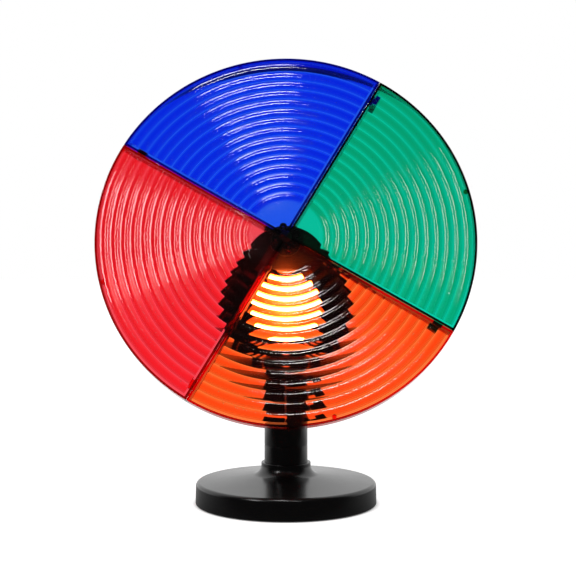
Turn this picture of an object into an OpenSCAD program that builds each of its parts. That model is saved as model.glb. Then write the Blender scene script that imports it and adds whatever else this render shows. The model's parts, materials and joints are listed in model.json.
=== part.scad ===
// Table-top colour wheel light: a lamp on a tilting head shines through a slowly
// turning wheel of four ribbed, coloured trays. Z is up, the wheel faces -Y, and
// the origin is the middle of the flat underside of the foot pad.

/* [Wheel] */
// Outside diameter of the wheel
wheel_d = 330; // [240:1:400]
// Depth of a tray, from its face to the back of its walls
tray_depth = 15; // [12:0.5:24]
// Thickness of a tray's face
face_t = 1.2; // [1:0.1:3]
// Thickness of a tray's walls
tray_wall = 2; // [1.2:0.1:3]
// Gap between neighbouring trays
seam_gap = 0.5; // [0.4:0.1:1.2]
// Direction of the first seam, anticlockwise from the right
seam_angle = 59.5; // [0:0.5:89.5]
// Spacing of the concentric ribs
rib_pitch = 8.65; // [5:0.05:14]
// Height of a rib above the face
rib_h = 0.75; // [0.4:0.05:1.2]
// Radius of the flat middle of the wheel
core_flat_r = 31; // [20:1:60]
// Width of the flat border inside the rim
rim_border = 3.7; // [3:0.1:8]
// Width of the flat border along a seam
seam_border = 3.5; // [3:0.1:8]
// Radius of the rounded inner corner at a tray's tip
tip_round = 7; // [5:0.5:12]
// Width of the hook that holds a tray to its neighbour
hook_w = 8.5; // [5:0.5:14]
// Distance from the rim to the middle of the hook
hook_inset = 15; // [10:0.5:40]
// Radius of the moulding nub inside the rim
nub_r = 2; // [1:0.1:3]

/* [Drive] */
// Diameter of the motor shaft
shaft_d = 5; // [4:0.1:6]
// Diameter of the motor can
motor_d = 28; // [24:0.5:34]
// Length of the motor can
motor_len = 19; // [14:0.5:30]
// Height of the shaft above the middle of the motor
shaft_offset = 8; // [4:0.5:9]
// Diameter of the hub flange
hub_flange_d = 27; // [26:0.5:34]
// Diameter of the hub boss
hub_boss_d = 10.6; // [9.5:0.1:11]

/* [Lamp] */
// Diameter of the reflector bulb
bulb_d = 63.5; // [50:0.1:80]
// Length of the bulb's glass
bulb_glass_len = 76; // [60:1:95]
// Diameter of the bulb's screw cap
cap_d = 26; // [24:0.1:28]
// Length of the bulb's screw cap
cap_len = 23; // [18:0.5:28]
// Outside diameter of the lamp socket
socket_d = 38; // [35:0.5:46]
// Distance from the mouth of the hood back to the bulb
bulb_setback = 16; // [8:0.5:30]

/* [Head] */
// Lean of the wheel and lamp at rest
rest_tilt = 16; // [0:1:30]
// Gap between the trays and the hood
wheel_gap = 5; // [4:0.5:12]
// Wall of the hood and its rear cover
hood_wall = 2.5; // [1.6:0.1:4]
// Air space around the bulb
bulb_air = 22.25; // [20:0.25:35]
// Length of the hood
hood_len = 80; // [74:1:110]
// Distance from the back edge of the hood to the tilt lug
neck_margin = 4.8; // [1:0.1:30]
// Space between the lamp socket and the end of the rear cover
socket_standoff = 11.8; // [10:0.1:30]
// Radius of the arch over the motor
arch_r = 36.7; // [35:0.1:44]
// Space above the shaft inside the arch
arch_headroom = 12.6; // [11:0.1:18]
// Thickness of the shelf between motor and lamp
shelf_t = 1.6; // [1.2:0.1:3]
// Gap between the shelf and the bulb
shelf_gap = 2.05; // [1.5:0.05:6]

/* [Stand] */
// Diameter of the base
base_d = 163; // [135:0.1:200]
// Height of the base's side wall
base_wall_h = 16.5; // [14:0.5:24]
// Rise of the base from its shoulder to the stem
base_rise = 6; // [3:0.5:12]
// Wall of the base shell
base_wall = 2.5; // [2:0.1:4]
// Diameter of the stem
stem_d = 38.9; // [32:0.1:47]
// Length of the lower stem above the collar
stem_len = 15.4; // [10:0.1:40]
// Length of the yoke below its shoulder
yoke_len = 18.2; // [14:0.1:40]
// Radius of the two halves of the tilt knuckle
knuckle_r = 14.2; // [12:0.1:18]
// Diameter of the tilt bolt
tilt_bolt_d = 6; // [5:0.1:8]
// Diameter of the tilt knob
knob_d = 25.4; // [20:0.1:34]

/* [Hidden] */
$fn = 96;
HULL_FN = 40;
SHOULDER_STEPS = 6;
FLARE_STEPS = 8;

black = [0.05, 0.05, 0.055];
steel = [0.62, 0.63, 0.65];
brass = [0.78, 0.62, 0.3];
ceramic = [0.92, 0.9, 0.86];
rubber = [0.12, 0.12, 0.12];

// Clearances
run_clear = 0.05;
fit_clear = 0.1;
part_clear = 0.3;
over = 1;

// Slot in the head of every screw
slot_w = 0.8;
slot_deep = 0.7;

// Wheel
wheel_r = wheel_d / 2;
half_gap = seam_gap / 2;
inner_edge = half_gap + tray_wall;
rib_outer_r = wheel_r - rim_border;
rib_count = floor((rib_outer_r - core_flat_r) / rib_pitch);
rib_valley = 0.2;
rib_w = rib_pitch - rib_valley;
rib_round = (rib_w * rib_w / 4 + rib_h * rib_h) / (2 * rib_h);
hook_t = 2;
hook_lip = 3.5;
hook_grip = 4;
nub_h = 3;

// Drive, with depths counted back from the wheel's face
shaft_r = shaft_d / 2;
motor_r = motor_d / 2;
hub_boss_r = hub_boss_d / 2;
hub_flange_r = hub_flange_d / 2;
hub_flange_t = 3;
hub_front = face_t + part_clear;
hub_seat = tray_depth + fit_clear;
hub_back = hub_seat + hub_flange_t;
hub_nose = 1.7;
hub_bore_front = hub_front + hub_nose;
tray_screw_r = 1.25;
tray_screw_head_r = 2.2;
tray_screw_head_h = 1.4;
tray_screw_len = 9;
tray_boss_r = 3.2;
tray_boss_gap = 0.7;
tray_boss_ring = hub_boss_r + tray_boss_r + tray_boss_gap;
hood_front = tray_depth + wheel_gap;
hood_back = hood_front + hood_len;
bush_wall = 2;
bush_r = shaft_r + bush_wall;
bush_flange_r = bush_r + bush_wall;
bush_flange_t = 1;
motor_standoff = 2;
motor_plate_t = 1.2;
motor_front = hood_front + hood_wall + motor_standoff;
motor_back = motor_front + motor_plate_t + motor_len;
motor_bore_len = 10;
ear_r = 3.5;
motor_ear_span = motor_d + 2 * ear_r;
motor_boss_r = 3.2;
motor_screw_r = 1.5;
motor_screw_head_r = 2.6;
motor_screw_head_h = 2;
motor_screw_len = 4;

// Lamp, with heights counted from the wheel's axis
bulb_r = bulb_d / 2;
cap_r = cap_d / 2;
socket_r = socket_d / 2;
motor_room = 0.6;
shelf_top = -(shaft_offset + motor_r + motor_room);
shelf_bottom = shelf_top - shelf_t;
shelf_tail = 15;
shelf_back = motor_back + shelf_tail;
lamp_drop = shelf_gap + bulb_r - shelf_bottom;
hood_r = bulb_r + bulb_air + hood_wall;
arch_drop = arch_r - hood_wall - arch_headroom;
bulb_front = hood_front + bulb_setback;
glass_back = bulb_front + bulb_glass_len;
glass_wall = 1;
cap_wall = 0.6;
neck_r = cap_r - cap_wall;
neck_len = 8;
bulb_dome = 3.5;
bulb_edge_round = 6;
bulb_edge_from = -75;
cap_front = glass_back - neck_len;
cap_back = cap_front + cap_len;
cap_floor = 2;
tip_r = 4.5;
tip_len = 2;
sleeve_t = 0.5;
sleeve_r = cap_r + part_clear + sleeve_t;
socket_bore_r = sleeve_r + fit_clear;
socket_lip = 3;
socket_front = cap_front + socket_lip;
contact_t = 0.6;
contact_r = 5;
socket_floor = cap_back + tip_len + fit_clear + contact_t;
socket_floor_t = 6;
socket_back = socket_floor + socket_floor_t;
socket_screw_x = 9.5;
socket_screw_r = 1.5;
socket_screw_head_r = 2.7;
socket_screw_head_h = 2;
socket_screw_len = 10;
pedestal_r = 15;

// Rear cover
cover_end_inset = 19;
cover_brim = 4;
cover_step = 1;
cover_round_from = 13;
cover_round_mid = 5;
cover_taper = 8;
cover_taper_mid = 12.5;
cover_wall_back = socket_back + socket_standoff;
cover_back = cover_wall_back + hood_wall;
cover_screw_r = 1.5;
cover_screw_head_r = 2.8;
cover_screw_head_h = 2.2;
cover_screw_len = 16;
cover_floor_t = 5;
cover_boss_r = 3.8;
cover_boss_len = 16;
cover_pillar = 1;
cover_pillar_len = 15;
cover_well_r = 3.2;
arch_screw_lean = 46;
lamp_screw_lean = -40;
vent_w = 2.6;
vent_x = [19, 24.5, 30];
vent_len = [24, 20, 12];
grommet_r = 5;
grommet_bore_r = 3.6;
grommet_lip = 2;
grommet_margin = 11.5;
grommet_drop = lamp_drop + hood_r - cover_end_inset - grommet_margin;

// Switch
switch_w = 12.8;
switch_h = 20;
switch_deep = 15;
switch_bezel = 1.2;
switch_bezel_t = 1.6;
switch_wall = 1.1;
rocker_w = switch_w - 2 * switch_wall - 2 * part_clear;
rocker_half_h = 7.8;
rocker_pin_r = 1.2;
rocker_tilt = 8;
rocker_in = 2;
rocker_wing = 4.4;
rocker_waist = 2.8;
rocker_keel = 4;
rocker_keel_half = 4.5;
rocker_room_deep = 9;

// Stand
base_r = base_d / 2;
stem_r = stem_d / 2;
pad_t = 2;
pad_inset = 5;
base_lift = 0.8;
cover_plate_t = 3;
cover_plate_top = pad_t + cover_plate_t;
cover_plate_r = base_r - base_wall - part_clear;
base_draft = 0.4;
base_shoulder_r = 3.5;
collar_ring = 2.8;
collar_ring_h = 2.3;
collar_bevel = 0.6;
flare_r = 9;
flare_from = 264;
flare_z = base_wall_h + base_shoulder_r + base_rise + flare_r;
collar_z = flare_z + collar_ring_h;
collar_deep = 5.8;
collar_seat = collar_z - collar_deep;
seat_t = 3.5;
seat_bottom = collar_seat - seat_t;
base_screw_inset = 15;
base_screw_ring = base_r - base_screw_inset;
base_screw_r = 1.5;
base_screw_head_r = 2.9;
base_screw_head_h = 1.8;
base_screw_len = 11;
base_boss_r = 4;
ballast_t = 11;
ballast_room = 2;
ballast_r = base_screw_ring - base_boss_r - ballast_room;
stem_wall = 3;
stem_top = collar_z + stem_len;
groove_w = 0.6;
groove_deep = 0.6;
yoke_bottom = stem_top + groove_w;
shoulder_z = yoke_bottom + yoke_len;
knuckle_gap = 7.3;
pivot_z = shoulder_z + knuckle_gap + knuckle_r;
pivot_gap = 1.3;
pivot_to_axis = lamp_drop + hood_r + pivot_gap + knuckle_r;
neck_depth = hood_back - neck_margin - knuckle_r;
stem_bolt_r = 4;
stem_bolt_head_r = 6.5;
stem_bolt_head_h = 5.3;
stem_bolt_grip = 12;
washer_t = 1.6;
washer_r = 11;
friction_t = 1.2;
friction_gap = 0.2;
friction_inset = 2;
friction_r = knuckle_r - friction_inset;
ear_face = friction_t / 2;
lug_face = -(friction_t / 2 + friction_gap);
tilt_bolt_r = tilt_bolt_d / 2;
tilt_head_ledge = 2.5;
tilt_head_r = tilt_bolt_r + tilt_head_ledge;
tilt_head_h = 4;
tilt_pocket_spare = 0.4;
tilt_pocket = tilt_head_h + tilt_pocket_spare;
knob_washer_t = 1;
knob_washer_r = 7;
knob_start = stem_r + knob_washer_t + part_clear;
knob_neck_r = 6;
knob_neck_len = 4.5;
knob_head_t = 8.3;
knob_cap = 2;
knob_flutes = 12;
knob_flute_r = 1.6;
insert_wall = 1.6;
insert_r = tilt_bolt_r + insert_wall;
insert_len = 8;
knob_end = knob_start + knob_neck_len + knob_head_t;

// Points along an arc
function arc(x, y, r, from, to, steps) =
    [for (i = [0:steps]) let (a = from + (to - from) * i / steps) [x + r * cos(a), y + r * sin(a)]];

// Carries a shape drawn in the wheel's frame (X right, Y back from the wheel's face,
// Z up from the wheel's axis) to its place on the tilted head
module head() {
    translate([0, 0, pivot_z])
        rotate([-rest_tilt, 0, 0])
            translate([0, -neck_depth, pivot_to_axis])
                children();
}

// Extrudes a front-view outline between two depths
module slab(front, back) {
    translate([0, back, 0])
        rotate([90, 0, 0])
            linear_extrude(back - front)
                children();
}

// Turns a profile of (radius, depth) about an axis that runs front to back
module turned(x = 0, up = 0) {
    translate([x, 0, up])
        rotate([-90, 0, 0])
            rotate_extrude()
                children();
}

// A plain screw along its own axis, its shank pointing down from the head's seat
module screw(shank_r, shank_len, head_r, head_h) {
    translate([0, 0, -shank_len])
        cylinder(r = shank_r, h = shank_len + head_h / 2);
    difference() {
        cylinder(r = head_r, h = head_h);
        translate([-head_r, -slot_w / 2, head_h - slot_deep])
            cube([2 * head_r, slot_w, slot_deep + over]);
    }
}

// A screw in the head, driven forwards with its head's seat at a given depth
module head_screw(x, up, seat, shank_r, shank_len, head_r, head_h) {
    translate([x, seat, up])
        rotate([-90, 0, 0])
            screw(shank_r, shank_len, head_r, head_h);
}

// Wheel

// One quarter of the front view with a rounded inner corner
module rounded_quarter(edge, corner) {
    translate([edge + corner, edge])
        square(wheel_d);
    translate([edge, edge + corner])
        square(wheel_d);
    translate([edge + corner, edge + corner])
        circle(corner);
}

module tray_outline() {
    intersection() {
        circle(wheel_r);
        translate([half_gap, half_gap])
            square(wheel_d);
    }
}

module tray_recess() {
    intersection() {
        circle(wheel_r - tray_wall);
        rounded_quarter(inner_edge, tip_round);
    }
}

module rib_profile() {
    for (i = [0:rib_count - 1]) {
        crest = rib_outer_r - rib_pitch * (i + 0.5);
        intersection() {
            translate([crest, rib_round - rib_h])
                circle(rib_round);
            translate([crest - rib_w / 2, -2 * rib_h])
                square([rib_w, 2 * rib_h + face_t / 4]);
        }
    }
}

module ribs(turn) {
    intersection() {
        turned()
            rib_profile();
        slab(-2 * rib_h, face_t)
            rotate(turn)
                translate([half_gap + seam_border, half_gap + seam_border])
                    square(wheel_d);
    }
}

// The hook at a tray's clockwise seam, which laps round the neighbour's wall
module hook(turn) {
    reach = inner_edge + part_clear + hook_lip;
    bridge_back = tray_depth + part_clear + hook_t;
    from_x = wheel_r - hook_inset - hook_w / 2;
    slab(tray_depth + part_clear, bridge_back)
        rotate(turn)
            translate([from_x, -reach])
                square([hook_w, reach + inner_edge]);
    slab(tray_depth - over, bridge_back)
        rotate(turn)
            translate([from_x, half_gap])
                square([hook_w, tray_wall]);
    slab(tray_depth - hook_grip, bridge_back)
        rotate(turn)
            translate([from_x, -reach])
                square([hook_w, hook_lip]);
}

module tray_screw_spots() {
    rotate(45)
        translate([tray_boss_ring, 0])
            children();
}

module sector(turn) {
    difference() {
        union() {
            difference() {
                slab(0, tray_depth)
                    rotate(turn)
                        tray_outline();
                slab(face_t, tray_depth + over)
                    rotate(turn)
                        tray_recess();
            }
            slab(face_t / 2, tray_depth)
                rotate(turn)
                    tray_screw_spots()
                        circle(tray_boss_r);
            slab(face_t / 2, face_t + nub_h)
                rotate(turn + 45)
                    translate([wheel_r - tray_wall - nub_r + part_clear, 0])
                        circle(nub_r);
            ribs(turn);
            hook(turn);
        }
        slab(face_t, tray_depth + over)
            circle(hub_boss_r + fit_clear);
        slab(tray_depth - tray_screw_len, tray_depth + over)
            rotate(turn)
                tray_screw_spots()
                    circle(tray_screw_r);
    }
}

module sector_green() color([0, 0.62, 0.5, 0.7]) head() sector(seam_angle - 90);
module sector_blue() color([0.03, 0.15, 0.9, 0.7]) head() sector(seam_angle);
module sector_red() color([0.98, 0.1, 0.14, 0.7]) head() sector(seam_angle + 90);
module sector_orange() color([1, 0.33, 0.05, 0.7]) head() sector(seam_angle + 180);

module wheel_hub() {
    color(black) head() difference() {
        union() {
            slab(hub_seat, hub_back)
                circle(hub_flange_r);
            slab(hub_front, hub_back)
                circle(hub_boss_r);
        }
        slab(hub_bore_front, hub_back + over)
            circle(shaft_r + run_clear);
        for (i = [0:3]) {
            slab(hub_seat - over, hub_back + over)
                rotate(seam_angle + 90 * i)
                    tray_screw_spots()
                        circle(tray_screw_r + part_clear);
            slab(hub_back - tray_screw_head_h - fit_clear, hub_back + over)
                rotate(seam_angle + 90 * i)
                    tray_screw_spots()
                        circle(tray_screw_head_r + part_clear);
        }
    }
}

module hub_screws() {
    color(steel) head() for (i = [0:3]) {
        turn = seam_angle + 90 * i + 45;
        seat = hub_back - tray_screw_head_h - fit_clear;
        head_screw(tray_boss_ring * cos(turn), tray_boss_ring * sin(turn), seat, tray_screw_r,
            tray_screw_len, tray_screw_head_r, tray_screw_head_h);
    }
}

module motor_shaft() {
    color(steel) head()
        slab(hub_bore_front + part_clear, motor_front + motor_plate_t + motor_bore_len - part_clear)
            circle(shaft_r);
}

// Motor

module motor_place() {
    translate([0, -shaft_offset])
        children();
}

module motor_can() {
    color(steel) head() difference() {
        slab(motor_front + motor_plate_t, motor_back)
            motor_place()
                circle(motor_r);
        slab(motor_front, motor_front + motor_plate_t + motor_bore_len)
            circle(shaft_r + run_clear);
    }
}

module motor_plate() {
    color(steel) head() slab(motor_front, motor_front + motor_plate_t) difference() {
        motor_place()
            union() {
                circle(motor_r);
                for (side = [-1, 1])
                    translate([side * motor_ear_span / 2, 0])
                        circle(ear_r);
                square([motor_ear_span, 2 * ear_r], center = true);
            }
        circle(shaft_r + fit_clear);
        motor_place()
            for (side = [-1, 1])
                translate([side * motor_ear_span / 2, 0])
                    circle(motor_screw_r + fit_clear);
    }
}

module motor_screws() {
    color(steel) head() for (side = [-1, 1])
        head_screw(side * motor_ear_span / 2, -shaft_offset, motor_front + motor_plate_t, motor_screw_r,
            motor_screw_len, motor_screw_head_r, motor_screw_head_h);
}

module shaft_bush() {
    color(brass) head() difference() {
        union() {
            slab(hood_front - bush_flange_t, hood_front)
                circle(bush_flange_r);
            slab(hood_front - bush_flange_t, hood_front + hood_wall)
                circle(bush_r);
        }
        slab(hood_front - 2 * bush_flange_t, hood_front + hood_wall + over)
            circle(shaft_r + run_clear);
    }
}

// Hood

// Front view of the hood: an arch over the motor and a round lamp bay below it,
// joined by the lines that touch both circles
module egg(inset) {
    ra = arch_r - inset;
    rb = hood_r - inset;
    lift = (hood_r - arch_r) / (lamp_drop - arch_drop);
    spread = sqrt(1 - lift * lift);
    translate([0, -arch_drop])
        circle(ra);
    translate([0, -lamp_drop])
        circle(rb);
    polygon([
        [ra * spread, ra * lift - arch_drop],
        [rb * spread, rb * lift - lamp_drop],
        [-rb * spread, rb * lift - lamp_drop],
        [-ra * spread, ra * lift - arch_drop]
    ]);
}

// Where the rear cover's four screws stand, close to the hood's wall
module cover_screw_spots() {
    for (side = [-1, 1]) {
        arch_ring = arch_r - hood_wall - cover_boss_r + part_clear;
        lamp_ring = hood_r - hood_wall - cover_boss_r + part_clear;
        translate([side * arch_ring * cos(arch_screw_lean), arch_ring * sin(arch_screw_lean) - arch_drop])
            children();
        translate([side * lamp_ring * cos(lamp_screw_lean), lamp_ring * sin(lamp_screw_lean) - lamp_drop])
            children();
    }
}

// The left half of the tilt knuckle, hanging from the hood
module neck_lug() {
    difference() {
        translate([-stem_r, neck_depth, -pivot_to_axis])
            rotate([90, 0, 90])
                linear_extrude(stem_r + lug_face)
                    union() {
                        circle(knuckle_r);
                        translate([-knuckle_r, 0])
                            square([2 * knuckle_r, pivot_gap + knuckle_r + hood_r / 4]);
                    }
        slab(hood_front - over, hood_back + over)
            egg(hood_wall / 2);
    }
}

module lamp_hood() {
    color(black) head() difference() {
        union() {
            difference() {
                slab(hood_front, hood_back)
                    egg(0);
                slab(hood_front - over, hood_back + over)
                    egg(hood_wall);
            }
            slab(hood_front, hood_front + hood_wall)
                intersection() {
                    egg(hood_wall / 2);
                    translate([-hood_r, shelf_bottom])
                        square(2 * hood_r);
                }
            slab(hood_front, shelf_back)
                intersection() {
                    egg(hood_wall / 2);
                    translate([-hood_r, shelf_bottom])
                        square([2 * hood_r, shelf_t]);
                }
            slab(hood_front + hood_wall / 2, motor_front)
                motor_place()
                    for (side = [-1, 1])
                        translate([side * motor_ear_span / 2, 0])
                            circle(motor_boss_r);
            slab(hood_back - cover_boss_len, hood_back)
                intersection() {
                    egg(hood_wall / 2);
                    cover_screw_spots()
                        circle(cover_boss_r);
                }
            neck_lug();
        }
        slab(hood_front - over, motor_front + over)
            circle(bush_r + fit_clear / 2);
        slab(motor_front - motor_screw_len, motor_front + over)
            motor_place()
                for (side = [-1, 1])
                    translate([side * motor_ear_span / 2, 0])
                        circle(motor_screw_r);
        slab(hood_back - cover_screw_len, hood_back + over)
            cover_screw_spots()
                circle(cover_screw_r);
        translate([-stem_r - over, neck_depth, -pivot_to_axis])
            rotate([0, 90, 0]) {
                cylinder(r = tilt_bolt_r + run_clear, h = 2 * stem_r);
                cylinder(r = tilt_head_r + part_clear, h = tilt_pocket + over);
            }
    }
}

// The rear cover's outside, or its inside when it is drawn a wall smaller
module cover_form(front, back, wall) {
    hull($fn = HULL_FN) {
        slab(front, hood_back + cover_brim)
            egg(wall);
        slab(back - cover_round_from, back - cover_round_from + cover_step)
            egg(wall + cover_taper);
        slab(back - cover_round_mid, back - cover_round_mid + cover_step)
            egg(wall + cover_taper_mid);
        slab(back - cover_step, back)
            egg(cover_end_inset + wall / 2);
    }
}

module vents() {
    for (side = [-1, 1], i = [0:len(vent_x) - 1])
        translate([side * vent_x[i], -lamp_drop])
            union() {
                square([vent_w, vent_len[i]], center = true);
                for (end = [-1, 1])
                    translate([0, end * vent_len[i] / 2])
                        circle(vent_w / 2);
            }
}

module switch_opening(grow) {
    translate([0, -arch_drop])
        square([switch_w + 2 * grow, switch_h + 2 * grow], center = true);
}

module rear_cover() {
    color(black) head() difference() {
        union() {
            difference() {
                cover_form(hood_back, cover_back, 0);
                cover_form(hood_back - over, cover_wall_back, hood_wall);
            }
            intersection() {
                slab(hood_back, hood_back + cover_pillar_len)
                    intersection() {
                        egg(hood_wall / 2);
                        cover_screw_spots()
                            circle(cover_boss_r + cover_pillar);
                    }
                cover_form(hood_back, cover_back, hood_wall / 2);
            }
            slab(socket_back, cover_wall_back + hood_wall / 2)
                translate([0, -lamp_drop])
                    circle(pedestal_r);
        }
        slab(hood_back - over, cover_back)
            cover_screw_spots()
                circle(cover_screw_r + part_clear);
        slab(hood_back + cover_floor_t, cover_back)
            cover_screw_spots()
                circle(cover_well_r);
        slab(socket_back - over, socket_back + socket_screw_len - socket_floor_t)
            for (side = [-1, 1])
                translate([side * socket_screw_x, -lamp_drop])
                    circle(socket_screw_r);
        slab(cover_wall_back - over, cover_back + over)
            vents();
        slab(cover_wall_back - over, cover_back + over)
            switch_opening(fit_clear);
        slab(cover_wall_back - over, cover_back + over)
            translate([0, -grommet_drop])
                circle(grommet_r);
    }
}

module cover_screws() {
    shank_len = cover_screw_len + cover_floor_t - over;
    color(steel) head()
        translate([0, hood_back + cover_floor_t, 0])
            rotate([90, 0, 0])
                cover_screw_spots()
                    rotate([180, 0, 0])
                        screw(cover_screw_r, shank_len, cover_screw_head_r, cover_screw_head_h);
}

// Lamp

// Profile of the reflector bulb from the middle of its face to its neck
function bulb_profile(wall) =
    let (
        r = bulb_r - wall,
        front = bulb_front + wall,
        neck = neck_r - wall,
        edge = front + bulb_dome + bulb_edge_round,
        taper = glass_back - neck_len - edge,
        face_steps = 5,
        steps = 10
    )
    concat(
        [[0, front]],
        [for (i = [1:face_steps - 1]) let (s = i / face_steps)
            [(r - bulb_edge_round) * s, front + bulb_dome * s * s]],
        arc(r - bulb_edge_round, edge, bulb_edge_round, bulb_edge_from, 0, face_steps),
        [for (i = [1:steps]) let (s = i / steps)
            [neck + (r - neck) * (1 + cos(180 * s)) / 2, edge + taper * s]],
        [[neck, glass_back]]
    );

module bulb_glass() {
    color([1, 0.93, 0.78]) head() turned(0, -lamp_drop) difference() {
        polygon(concat(bulb_profile(0), [[0, glass_back]]));
        polygon(concat(
            bulb_profile(glass_wall),
            [[neck_r - glass_wall, glass_back + over], [0, glass_back + over]]
        ));
    }
}

module bulb_cap() {
    color(steel) head() turned(0, -lamp_drop) difference() {
        union() {
            translate([0, cap_front])
                square([cap_r, cap_len]);
            translate([0, cap_back - over])
                square([tip_r, tip_len + over]);
        }
        translate([-over, cap_front - over])
            square([neck_r + fit_clear + over, neck_len + over + fit_clear]);
        translate([-over, cap_front])
            square([cap_r - cap_wall + over, cap_len - cap_floor]);
    }
}

module lamp_socket() {
    color(ceramic) head() difference() {
        turned(0, -lamp_drop) difference() {
            translate([0, socket_front])
                square([socket_r, socket_back - socket_front]);
            translate([-over, socket_front - over])
                square([socket_bore_r + over, socket_floor - socket_front + over]);
        }
        for (side = [-1, 1]) {
            slab(socket_floor - over, socket_back + over)
                translate([side * socket_screw_x, -lamp_drop])
                    circle(socket_screw_r + fit_clear);
            slab(socket_floor - over, socket_floor + socket_screw_head_h + fit_clear)
                translate([side * socket_screw_x, -lamp_drop])
                    circle(socket_screw_head_r + fit_clear);
        }
    }
}

module socket_sleeve() {
    color(brass) head() turned(0, -lamp_drop)
        translate([sleeve_r - sleeve_t, socket_front + over])
            square([sleeve_t, socket_floor - socket_front - over]);
}

module socket_contact() {
    color(brass) head() slab(socket_floor - contact_t, socket_floor)
        translate([0, -lamp_drop])
            circle(contact_r);
}

module socket_screws() {
    shank_len = socket_screw_len - socket_screw_head_h;
    color(steel) head() for (side = [-1, 1])
        translate([side * socket_screw_x, socket_floor + socket_screw_head_h, -lamp_drop])
            rotate([90, 0, 0])
                screw(socket_screw_r, shank_len, socket_screw_head_r, socket_screw_head_h);
}

// Switch, cord inlet and wiring

module switch_body() {
    color(black) head() difference() {
        union() {
            slab(cover_back, cover_back + switch_bezel_t)
                switch_opening(switch_bezel);
            slab(cover_back - switch_deep, cover_back + switch_bezel_t)
                switch_opening(0);
        }
        slab(cover_back + switch_bezel_t - rocker_room_deep, cover_back + switch_bezel_t + over)
            switch_opening(-switch_wall);
        translate([-switch_w, cover_back - rocker_in, -arch_drop])
            rotate([0, 90, 0])
                cylinder(r = rocker_pin_r + run_clear, h = 2 * switch_w);
    }
}

module switch_rocker() {
    pin_half = rocker_w / 2 + part_clear + switch_wall - fit_clear;
    color([0.75, 0.06, 0.06]) head()
        translate([0, cover_back - rocker_in, -arch_drop])
            rotate([rocker_tilt, 0, 0])
                rotate([90, 0, 90]) {
                    linear_extrude(rocker_w, center = true)
                        polygon([
                            [rocker_wing, -rocker_half_h],
                            [rocker_waist, 0],
                            [rocker_wing, rocker_half_h],
                            [-rocker_keel, rocker_keel_half],
                            [-rocker_keel, -rocker_keel_half]
                        ]);
                    cylinder(r = rocker_pin_r, h = 2 * pin_half, center = true);
                }
}

module cord_grommet() {
    color(rubber) head() turned(0, -grommet_drop)
        translate([grommet_bore_r, 0])
            union() {
                translate([0, cover_back])
                    square([grommet_r - grommet_bore_r + grommet_lip, grommet_lip]);
                translate([0, cover_wall_back - grommet_lip])
                    square([grommet_r - grommet_bore_r - fit_clear, hood_wall + 2 * grommet_lip]);
                translate([0, cover_wall_back - grommet_lip])
                    square([grommet_r - grommet_bore_r + grommet_lip / 2, grommet_lip]);
            }
}

// Two leads from the switch to the motor and two to the lamp socket
module lead_wires() {
    wire_r = 0.9;
    wire_x = 3.5;
    wire_spread = 4;
    socket_lead_depth = socket_back - 2 * wire_r;
    socket_lead_from = socket_r - lamp_drop - fit_clear;
    socket_lead_up = -arch_drop - wire_spread;
    switch_front = cover_back - switch_deep;
    color([0.2, 0.2, 0.6]) head() for (side = [-1, 1]) {
        slab(motor_back, switch_front)
            translate([side * wire_x, wire_spread - arch_drop])
                circle(wire_r);
        translate([side * wire_x, socket_lead_depth, socket_lead_from])
            cylinder(r = wire_r, h = socket_lead_up - socket_lead_from);
        translate([side * wire_x, socket_lead_depth, socket_lead_up])
            sphere(wire_r);
        slab(socket_lead_depth, max(switch_front, socket_lead_depth + wire_r))
            translate([side * wire_x, socket_lead_up])
                circle(wire_r);
    }
}

// Stand

// Half section of the base from the wall's foot to the stem's flare, or of the
// hollow inside it when it is drawn a wall smaller
function base_section(wall, foot, flare_end) =
    let (
        shoulder_x = base_r - base_draft - base_shoulder_r,
        flare_x = stem_r + collar_ring + flare_r
    )
    concat(
        [[base_r - wall, foot]],
        arc(shoulder_x, base_wall_h, base_shoulder_r - wall, 0, 90, SHOULDER_STEPS),
        arc(flare_x, flare_z, flare_r + wall, flare_from, flare_end, FLARE_STEPS)
    );

module base_shell() {
    ring_r = stem_r + collar_ring;
    seat_angle = 180 + asin((flare_z - seat_bottom) / (flare_r + base_wall));
    boss_top = base_wall_h + base_shoulder_r - base_wall / 2;
    color(black) difference() {
        union() {
            rotate_extrude()
                difference() {
                    polygon(concat(
                        base_section(0, base_lift, 180),
                        [[ring_r, collar_z - collar_bevel], [ring_r - collar_bevel, collar_z]],
                        [[0, collar_z], [0, base_lift]]
                    ));
                    polygon(concat(base_section(base_wall, 0, seat_angle), [[0, seat_bottom], [0, 0]]));
                    translate([-over, collar_seat])
                        square([stem_r + fit_clear + over, collar_z]);
                }
            for (i = [0:3])
                rotate(45 + 90 * i)
                    translate([base_screw_ring, 0, cover_plate_top])
                        cylinder(r = base_boss_r, h = boss_top - cover_plate_top);
        }
        translate([0, 0, seat_bottom - over])
            cylinder(r = stem_bolt_r + part_clear, h = collar_z);
        for (i = [0:3])
            rotate(45 + 90 * i)
                translate([base_screw_ring, 0, 0])
                    cylinder(r = base_screw_r, h = cover_plate_top + base_screw_len - base_screw_head_h);
    }
}

module ballast_plate() {
    color([0.3, 0.3, 0.32]) translate([0, 0, cover_plate_top])
        cylinder(r = ballast_r, h = ballast_t);
}

module base_cover() {
    color(black) difference() {
        translate([0, 0, pad_t])
            cylinder(r = cover_plate_r, h = cover_plate_t);
        for (i = [0:3])
            rotate(45 + 90 * i)
                translate([base_screw_ring, 0, 0]) {
                    cylinder(r = base_screw_r + fit_clear, h = cover_plate_top + over);
                    cylinder(r = base_screw_head_r + part_clear, h = pad_t + base_screw_head_h + fit_clear);
                }
    }
}

module base_screws() {
    shank_len = base_screw_len - base_screw_head_h;
    color(steel) for (i = [0:3])
        rotate(45 + 90 * i)
            translate([base_screw_ring, 0, pad_t + base_screw_head_h + fit_clear])
                rotate([180, 0, 0])
                    screw(base_screw_r, shank_len, base_screw_head_r, base_screw_head_h);
}

module foot_pad() {
    color(rubber) cylinder(r = base_r - pad_inset, h = pad_t);
}

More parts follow.
